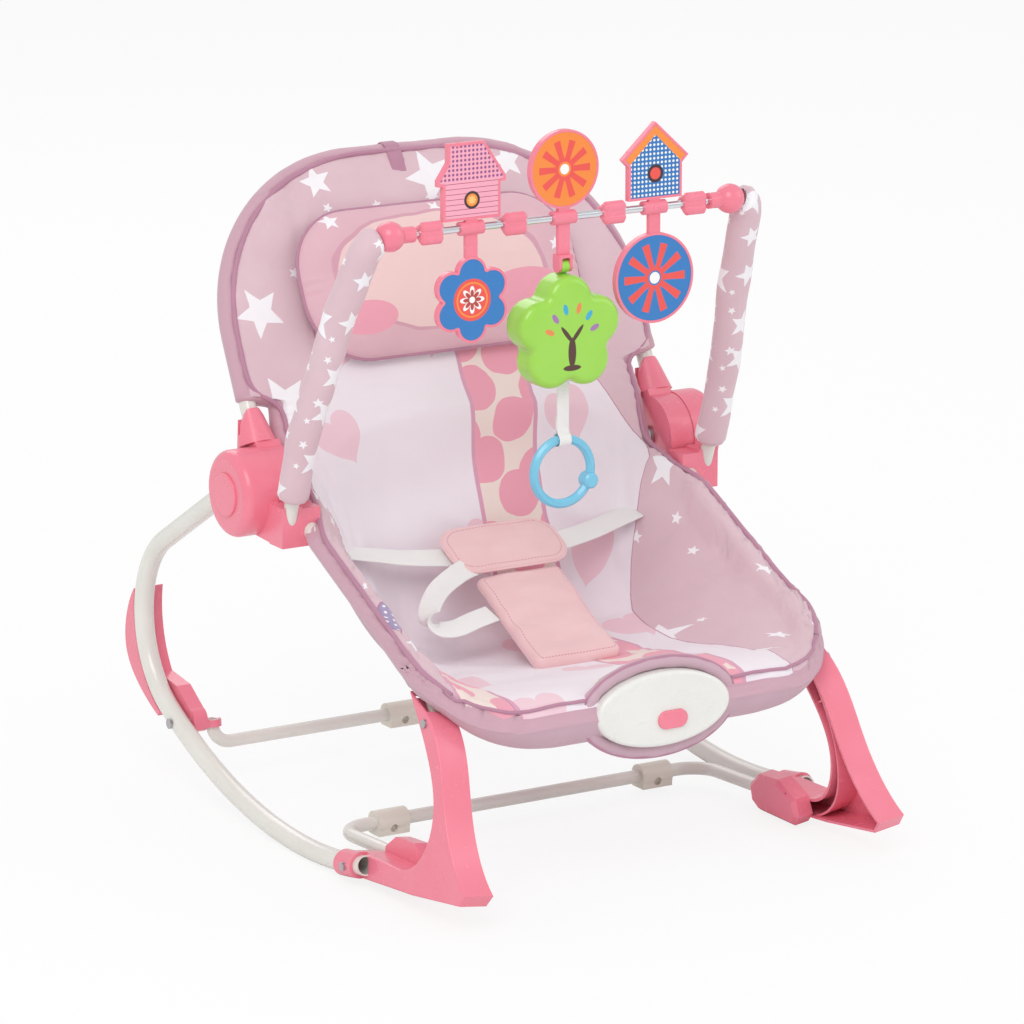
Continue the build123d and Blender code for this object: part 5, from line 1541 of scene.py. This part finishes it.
def ribbed(name, color, shade, pitch):
    """Woven tape: ribs across it, and a fine weave."""
    recipe = woven(name, color, shade, on_cloth, 0.15)
    where = on_cloth(recipe)
    recipe.bump(recipe.waves(where, 1 / pitch / 2, "Y"), 0.0004, 0.6)
    return recipe


finish["webbing"] = ribbed("webbing", paint(247, 246, 245), paint(236, 233, 232), 0.0022)
print("bands ready")

# %% [markdown]
# ## The pillow's ribbon
# A ribbon runs from the pillow over the top of the back and down behind it. Its path is taken
# from the cover's own points, a little above the cloth, so it hugs the padded edge.

# %% Pillow ribbon
ribbon_x = -0.012
ribbon_column_share = -0.1
ribbon_width = 0.016
ribbon_lift = 0.0011
ribbon_low_u = 0.246
ribbon_thick = 0.0016
ribbon_step = 0.002
across_part = (1, 0, 0)


def over_the_top():
    """Points on the cover, up the front of the back, over the edge and down behind."""
    column = int(np.argmin(np.abs(column_shares - ribbon_column_share)))
    offset = len(seat_rows)
    keep = np.flatnonzero(back_u >= ribbon_low_u) + offset
    front = cover_upper[keep, column]
    rear = cover_lower[keep[:-1], column][::-1]
    outward = np.array([0, -math.cos(back_lean), math.sin(back_lean)]) * ribbon_lift
    path = np.concatenate([front + outward, rear - outward])
    crown = len(front) - 1
    up = np.array([0, math.sin(back_lean), math.cos(back_lean)]) * ribbon_lift
    path[crown - 1 : crown + 2] += up
    path[:, 0] = ribbon_x
    return thinned(path, ribbon_step)


pillow_ribbon = band_mesh(
    "pillow_ribbon", over_the_top(), across_part, across_part, ribbon_width, ribbon_thick
)
dress_piece(pillow_ribbon, "mauve_piping")
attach(pillow_ribbon, "back")
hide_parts("pillow_strap")
print("pillow ribbon", ribbon_width, "m wide")

# %% [markdown]
# ## The harness
# A satin pad rises from the seat between the child's legs, and a flap over its top holds the two
# waist straps. Satin is smooth and bright, so its recipe has a lower roughness and more sheen.
# The pad bends along a line from the seat up to the flap; the flap lies in a tilted plane.

# %% Satin and the crotch pad
stitch_inset = 0.0052
stitch_pitch = 0.0034
stitch_half = 0.00045


def satin(name, color, shade):
    recipe = woven(name, color, shade, on_cloth, 0.35, 0.00004)
    where = recipe.place()
    recipe.vary_roughness(recipe.noise(where, 30.0, 3), 0.36, 0.5)
    creases = recipe.noise(recipe.vector("MULTIPLY", where, (1.0, 2.2, 1.0)), 42.0, 2)
    recipe.bump(creases, 0.0022, 0.4)
    across, along, flat = recipe.split(on_cloth(recipe))
    gap = recipe.split(recipe.cloth_place("edge"))[0]
    beside = recipe.math("ABSOLUTE", recipe.math("SUBTRACT", gap, stitch_inset))
    line = clamped(recipe, inside(recipe, beside, stitch_half))
    round_seam = recipe.math("ADD", across, along)
    step = recipe.math("SINE", recipe.math("MULTIPLY", round_seam, 2 * math.pi / stitch_pitch))
    dash = clamped(recipe, recipe.math("MULTIPLY_ADD", step, 6.0, 3.0))
    tint(recipe, recipe.math("MULTIPLY", line, dash), paint(206, 140, 156))
    return recipe


finish["harness_satin"] = satin("harness_satin", paint(243, 208, 208), paint(230, 184, 188))
pad_line = np.array([
    (-0.126, 0.1731), (-0.100, 0.1862), (-0.066, 0.203), (-0.038, 0.2195), (-0.012, 0.232),
])
pad_half_length = 0.064
pad_half_width = 0.046
pad_half_thick = 0.0062
pad_corner = 0.008
pad_edge_round = 0.006
pad_crown = 0.0016
pad_crease = 0.0012
pad_roll = 0.0022
harness_pressure = 2.0
pad_swell = 0.003


def along_pad(x, v, height):
    """From the flat pad to the seat: v runs along the pad's line, height is square to it."""
    reach = lengths_along(pad_line)
    where = (v + pad_half_length) / (2 * pad_half_length) * reach[-1]
    y = np.interp(where, reach, pad_line[:, 0])
    z = np.interp(where, reach, pad_line[:, 1])
    slope = math.atan2(pad_line[-1, 1] - pad_line[0, 1], pad_line[-1, 0] - pad_line[0, 0])
    return np.stack([x, y - height * math.sin(slope), z + height * math.cos(slope)], -1)


def crotch_grids():
    half = pad_half_thick
    x, v, high, low, gap = pad_grids(
        pad_half_width, pad_half_length, pad_corner, half, -half, pad_edge_round
    )
    crown = round_off(gap, 0.02) * pad_crown
    waves = soft_waves(x * 0.5, v * 1.6, 0.032, wave_seed["crotch_pad"])
    creases = waves * pad_crease * round_off(gap, 0.012)
    rolled_end = np.exp(-(((v + pad_half_length - 0.010) / 0.009) ** 2)) * pad_roll
    return x, v, high + crown + creases + rolled_end, low, gap


crotch_pad, crotch_held = flat_pad("crotch_pad_padded", crotch_grids(), along_pad)
settle(crotch_pad, crotch_held, harness_pressure, pad_swell)
smooth_once(crotch_pad)
dress_piece(crotch_pad, "harness_satin", "harness_satin")
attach(crotch_pad, "base")
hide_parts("crotch_pad")
print("crotch pad", pad_half_length * 2, "m long")

# %% [markdown]
# ## The flap
# The flap is the same satin, a rounded plate that leans back towards the child. A line of
# stitching sinks a little way inside its edge, and a thin rolled hem runs all round it.

# %% Flap over the pad
flap_middle = (0.0125, 0.2524)
flap_tilt = math.radians(62.0)
flap_half_width = 0.062
flap_half_height = 0.031
flap_corner = 0.024
flap_thick = 0.0075
flap_edge_round = 0.007
flap_seam_inset = 0.0055
flap_seam_width = 0.0012
flap_seam_depth = 0.0011
flap_crease = 0.0009
flap_swell = 0.002
hem_radius = 0.0011


def on_flap(x, v, height):
    y = flap_middle[0] + v * math.sin(flap_tilt) - height * math.cos(flap_tilt)
    z = flap_middle[1] + v * math.cos(flap_tilt) + height * math.sin(flap_tilt)
    return np.stack([x, y, z], -1)


def flap_grids():
    x, v, high, low, gap = pad_grids(
        flap_half_width, flap_half_height, flap_corner, flap_thick, 0.0, flap_edge_round
    )
    seam = np.exp(-(((gap - flap_seam_inset) / flap_seam_width) ** 2)) * flap_seam_depth
    creases = soft_waves(x * 0.7, v * 1.3, 0.04, wave_seed["flap"]) * flap_crease * round_off(gap, 0.012)
    return x, v, high + creases - seam, low, gap


flap_shape = flap_grids()
flap, flap_held = flat_pad("crotch_flap_padded", flap_shape, on_flap)
settle(flap, flap_held, harness_pressure, flap_swell)
smooth_once(flap)
dress_piece(flap, "harness_satin", "harness_satin")
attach(flap, "base")
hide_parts("crotch_flap")
hem_path = ring_path(flap_shape, on_flap)
flap_edge = tube_mesh("flap_edge", hem_path, hem_radius, closed=True)
dress_piece(flap_edge, "harness_satin")
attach(flap_edge, "base")
print("flap", flap_half_width * 2, "m wide, left bare")

# %% [markdown]
# ## Waist straps
# The straps are white webbing. Each leaves the flap, sags a little and ends at the cover's side.
# On the left a spare length is folded into a loop in front of the flap.

# %% Waist straps
strap_width = 0.025
strap_thick = 0.002
strap_inner = (0.050, 0.0125, 0.2500)
strap_outer = (0.159, 0.0305, 0.2652)
strap_side = (0.0, 0.883, 0.469)
strap_side_outer = (0.0, 0.95, 0.31)
strap_sag = [0, 0.0016, 0.0024, 0.0012, 0]
strap_steps = 40


def waist_strap(side):
    inner = np.array(strap_inner) * (side, 1, 1)
    outer = np.array(strap_outer) * (side, 1, 1)
    points = [inner + (outer - inner) * share for share in np.linspace(0, 1, len(strap_sag))]
    for point, sag in zip(points, strap_sag):
        point[2] -= sag
    return curve_through(points, strap_steps)


strap_paths = [waist_strap(1), waist_strap(-1)]
for strap_name, strap_path in zip(("right_waist_strap", "left_waist_strap"), strap_paths):
    strap = band_mesh(strap_name, strap_path, strap_side, strap_side_outer, strap_width, strap_thick)
    dress_piece(strap, "webbing")
    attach(strap, "base")
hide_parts("waist_straps")

loop_points = [
    (-0.040, -0.004, 0.2455), (-0.066, -0.016, 0.2430), (-0.096, -0.030, 0.2330), (-0.114, -0.044, 0.2170),
    (-0.112, -0.056, 0.2060), (-0.094, -0.058, 0.2035), (-0.070, -0.054, 0.2075), (-0.049, -0.050, 0.2100),
]
loop_sides = [(0.1, 0.8, 0.5), (0.0, 0.9, 0.45)]
loop_width = 0.022
loop_thick = 0.0018
loop = band_mesh("left_strap_loop", curve_through(loop_points, 60), *loop_sides, loop_width, loop_thick)
dress_piece(loop, "webbing")
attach(loop, "base")
print("waist straps and one folded loop")

# %% [markdown]
# ## Sleeves on the toy bar's legs
# Each leg of the toy bar has a padded sleeve in the cover's cloth. The leg's line is given by the
# corners of its bent tube; each corner is rounded. The radius of the sleeve swells and shrinks
# round and along, tight at both ends where the cloth is gathered onto the tube.

# %% Leg sleeves
leg_corners = [
    (0.2284, 0.0205, 0.290), (0.2284, -0.014, 0.394), (0.213, -0.061, 0.518),
    (0.203, -0.0945, 0.588), (0.174, -0.0945, 0.588),
]
leg_radii = (0.2, 0.2, 0.024)
sleeve_radius = 0.0150
leg_tube_radius = 0.0072
sleeve_low = 0.328
sleeve_end_x = 0.192
sleeve_step = 0.0028
sleeve_sides = 28
sleeve_wrinkle = 0.0006
sleeve_gather = 0.0005
gathers_round = 13
to_rear = (0, 1, 0)


def rounded_line(corners, radii, steps=14):
    """A line through corners, each cut by a curve that starts and ends on the two runs."""
    corners = [np.array(c, float) for c in corners]
    points = [corners[0]]
    for before, corner, after, radius in zip(corners, corners[1:], corners[2:], radii):
        back = (before - corner) / np.linalg.norm(before - corner)
        on = (after - corner) / np.linalg.norm(after - corner)
        half_turn = (math.pi - math.acos(np.clip(back @ on, -1, 1))) / 2
        reach = radius * math.tan(half_turn)
        start, end = corner + back * reach, corner + on * reach
        for share in np.linspace(0, 1, steps):
            points.append(start * (1 - share) ** 2 + corner * 2 * share * (1 - share) + end * share**2)
    points.append(corners[-1])
    return np.array(points)


def even_line(points, step):
    """The same line with points an even step apart."""
    length = lengths_along(points)
    places = np.arange(0, length[-1], step)
    return np.stack([np.interp(places, length, points[:, k]) for k in range(3)], -1)


def leg_sleeve(side):
    name = "right_leg_sleeve" if side > 0 else "left_leg_sleeve"
    line = even_line(rounded_line(leg_corners, leg_radii), sleeve_step)
    line = line[(line[:, 2] >= sleeve_low) & (line[:, 0] >= sleeve_end_x)] * (side, 1, 1)
    place = np.arange(len(line)) * sleeve_step
    around = np.linspace(0, 2 * math.pi, sleeve_sides, endpoint=False)
    from_end = np.minimum(place, place[-1] - place)
    full = leg_tube_radius + (sleeve_radius - leg_tube_radius) * round_off(from_end + 0.0004, 0.007)
    arc = around[None] * sleeve_radius
    wrinkles = soft_waves(arc + place[:, None] * 0.25, place[:, None], 0.05, wave_seed[name])
    gathers = np.sin(around * gathers_round)[None] * np.exp(-from_end / 0.02)[:, None]
    radius = full[:, None] + wrinkles * sleeve_wrinkle + gathers * sleeve_gather
    piece = tube_mesh(name, line, radius, sides=sleeve_sides, reference=to_rear)
    dress_piece(piece, "sleeve_print")
    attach(piece, "toy_bar")
    return piece


sleeves = [leg_sleeve(1), leg_sleeve(-1)]
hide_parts("leg_sleeves")
print("leg sleeves", sleeve_radius * 2, "m across")

# %% [markdown]
# ## The unit's rim
# The vibration unit sits in an oval opening of the cover, with a padded rim of cloth round it and
# a line of piping. Both follow the unit's own oval, read from the frame.

# %% Rim round the vibration unit
unit_low, unit_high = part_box("unit_cover")
rim_thick = 0.0062
rim_y = unit_low.y + 0.014
rim_sides = 16
rim_step = 0.0028
rim_gather_pitch = 0.0175
rim_gather = 0.0003
rim_wrinkle = 0.0002
rim_piping_radius = 0.0014


def unit_oval(margin, y, steps=120):
    angles = np.linspace(0, 2 * math.pi, steps, endpoint=False)
    half_wide = (unit_high.x - unit_low.x) / 2 + margin
    half_tall = (unit_high.z - unit_low.z) / 2 + margin
    z = (unit_high.z + unit_low.z) / 2 + half_tall * np.sin(angles)
    return np.stack([half_wide * np.cos(angles), np.full(steps, y), z], -1)


rim_path = unit_oval(rim_thick, rim_y)
rim_along = np.arange(len(rim_path))[:, None] * rim_step
rim_turn = np.linspace(0, 2 * math.pi, rim_sides, endpoint=False)[None] * rim_thick
rim_gathers = np.sin(rim_along * 2 * math.pi / rim_gather_pitch) * rim_gather
rim_waves = soft_waves(rim_along, rim_turn, 0.02, wave_seed["rim"]) * rim_wrinkle
rim_radius = rim_thick + rim_gathers + rim_waves
rim = tube_mesh("unit_rim", rim_path, rim_radius, sides=rim_sides, closed=True, reference=to_child)
dress_piece(rim, "lining")
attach(rim, "base")
outer_oval = unit_oval(rim_thick * 2 - 0.001, rim_y - 0.003)
rim_piping = tube_mesh("unit_rim_piping", outer_oval, rim_piping_radius, closed=True, reference=to_child)
dress_piece(rim_piping, "mauve_piping")
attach(rim_piping, "base")
print("rim", rim_thick * 2, "m thick")

# %% [markdown]
# ## The ring's ribbon
# A short ribbon hangs from the rattle and is folded round the ring, its end stitched to itself.

# %% Ring ribbon
ribbon_low, ribbon_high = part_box("ribbon")
ring_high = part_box("teething_ring")[1]
loop_radius = 0.0062
ring_ribbon_thick = 0.0013


def ring_ribbon_path():
    middle_y = (ribbon_low.y + ribbon_high.y) / 2
    centre_z = ring_high.z - 0.0045
    angles = np.linspace(math.pi * 0.62, math.pi * 2.38, 26)
    turn_y = middle_y - loop_radius * np.cos(angles + math.pi)
    turn_z = centre_z + loop_radius * np.sin(angles)
    drop = np.linspace(ribbon_high.z, centre_z + loop_radius + 0.004, 14)
    front_y = np.full(14, middle_y - 0.0008)
    tail_z = np.linspace(centre_z + loop_radius + 0.003, centre_z + loop_radius + 0.016, 6)
    tail_y = np.full(6, middle_y + 0.0012)
    y = np.concatenate([front_y, turn_y, tail_y])
    z = np.concatenate([drop, turn_z, tail_z])
    return np.stack([np.zeros_like(y), y, z], -1)


ring_ribbon_width = ribbon_high.x - ribbon_low.x
ring_ribbon = band_mesh(
    "ring_ribbon", ring_ribbon_path(), across_part, across_part, ring_ribbon_width, ring_ribbon_thick
)
dress_piece(ring_ribbon, "webbing")
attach(ring_ribbon, "ring")
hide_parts("ribbon")
print("ring ribbon", round(ribbon_high.z - ribbon_low.z, 3), "m long")

# %% [markdown]
# ## Hard pieces
# The hard pieces keep their shape from the frame. Each takes the finish of its material slot, or
# its own print.

# %% Finishes on the frame's own pieces
for node_name, node in frame["nodes"].items():
    recipe_name = own_finish.get(node_name, slot_of[node_name])
    if recipe_name not in finish:
        continue
    node.data.materials.clear()
    node.data.materials.append(finish[recipe_name].material)
print("hard pieces dressed")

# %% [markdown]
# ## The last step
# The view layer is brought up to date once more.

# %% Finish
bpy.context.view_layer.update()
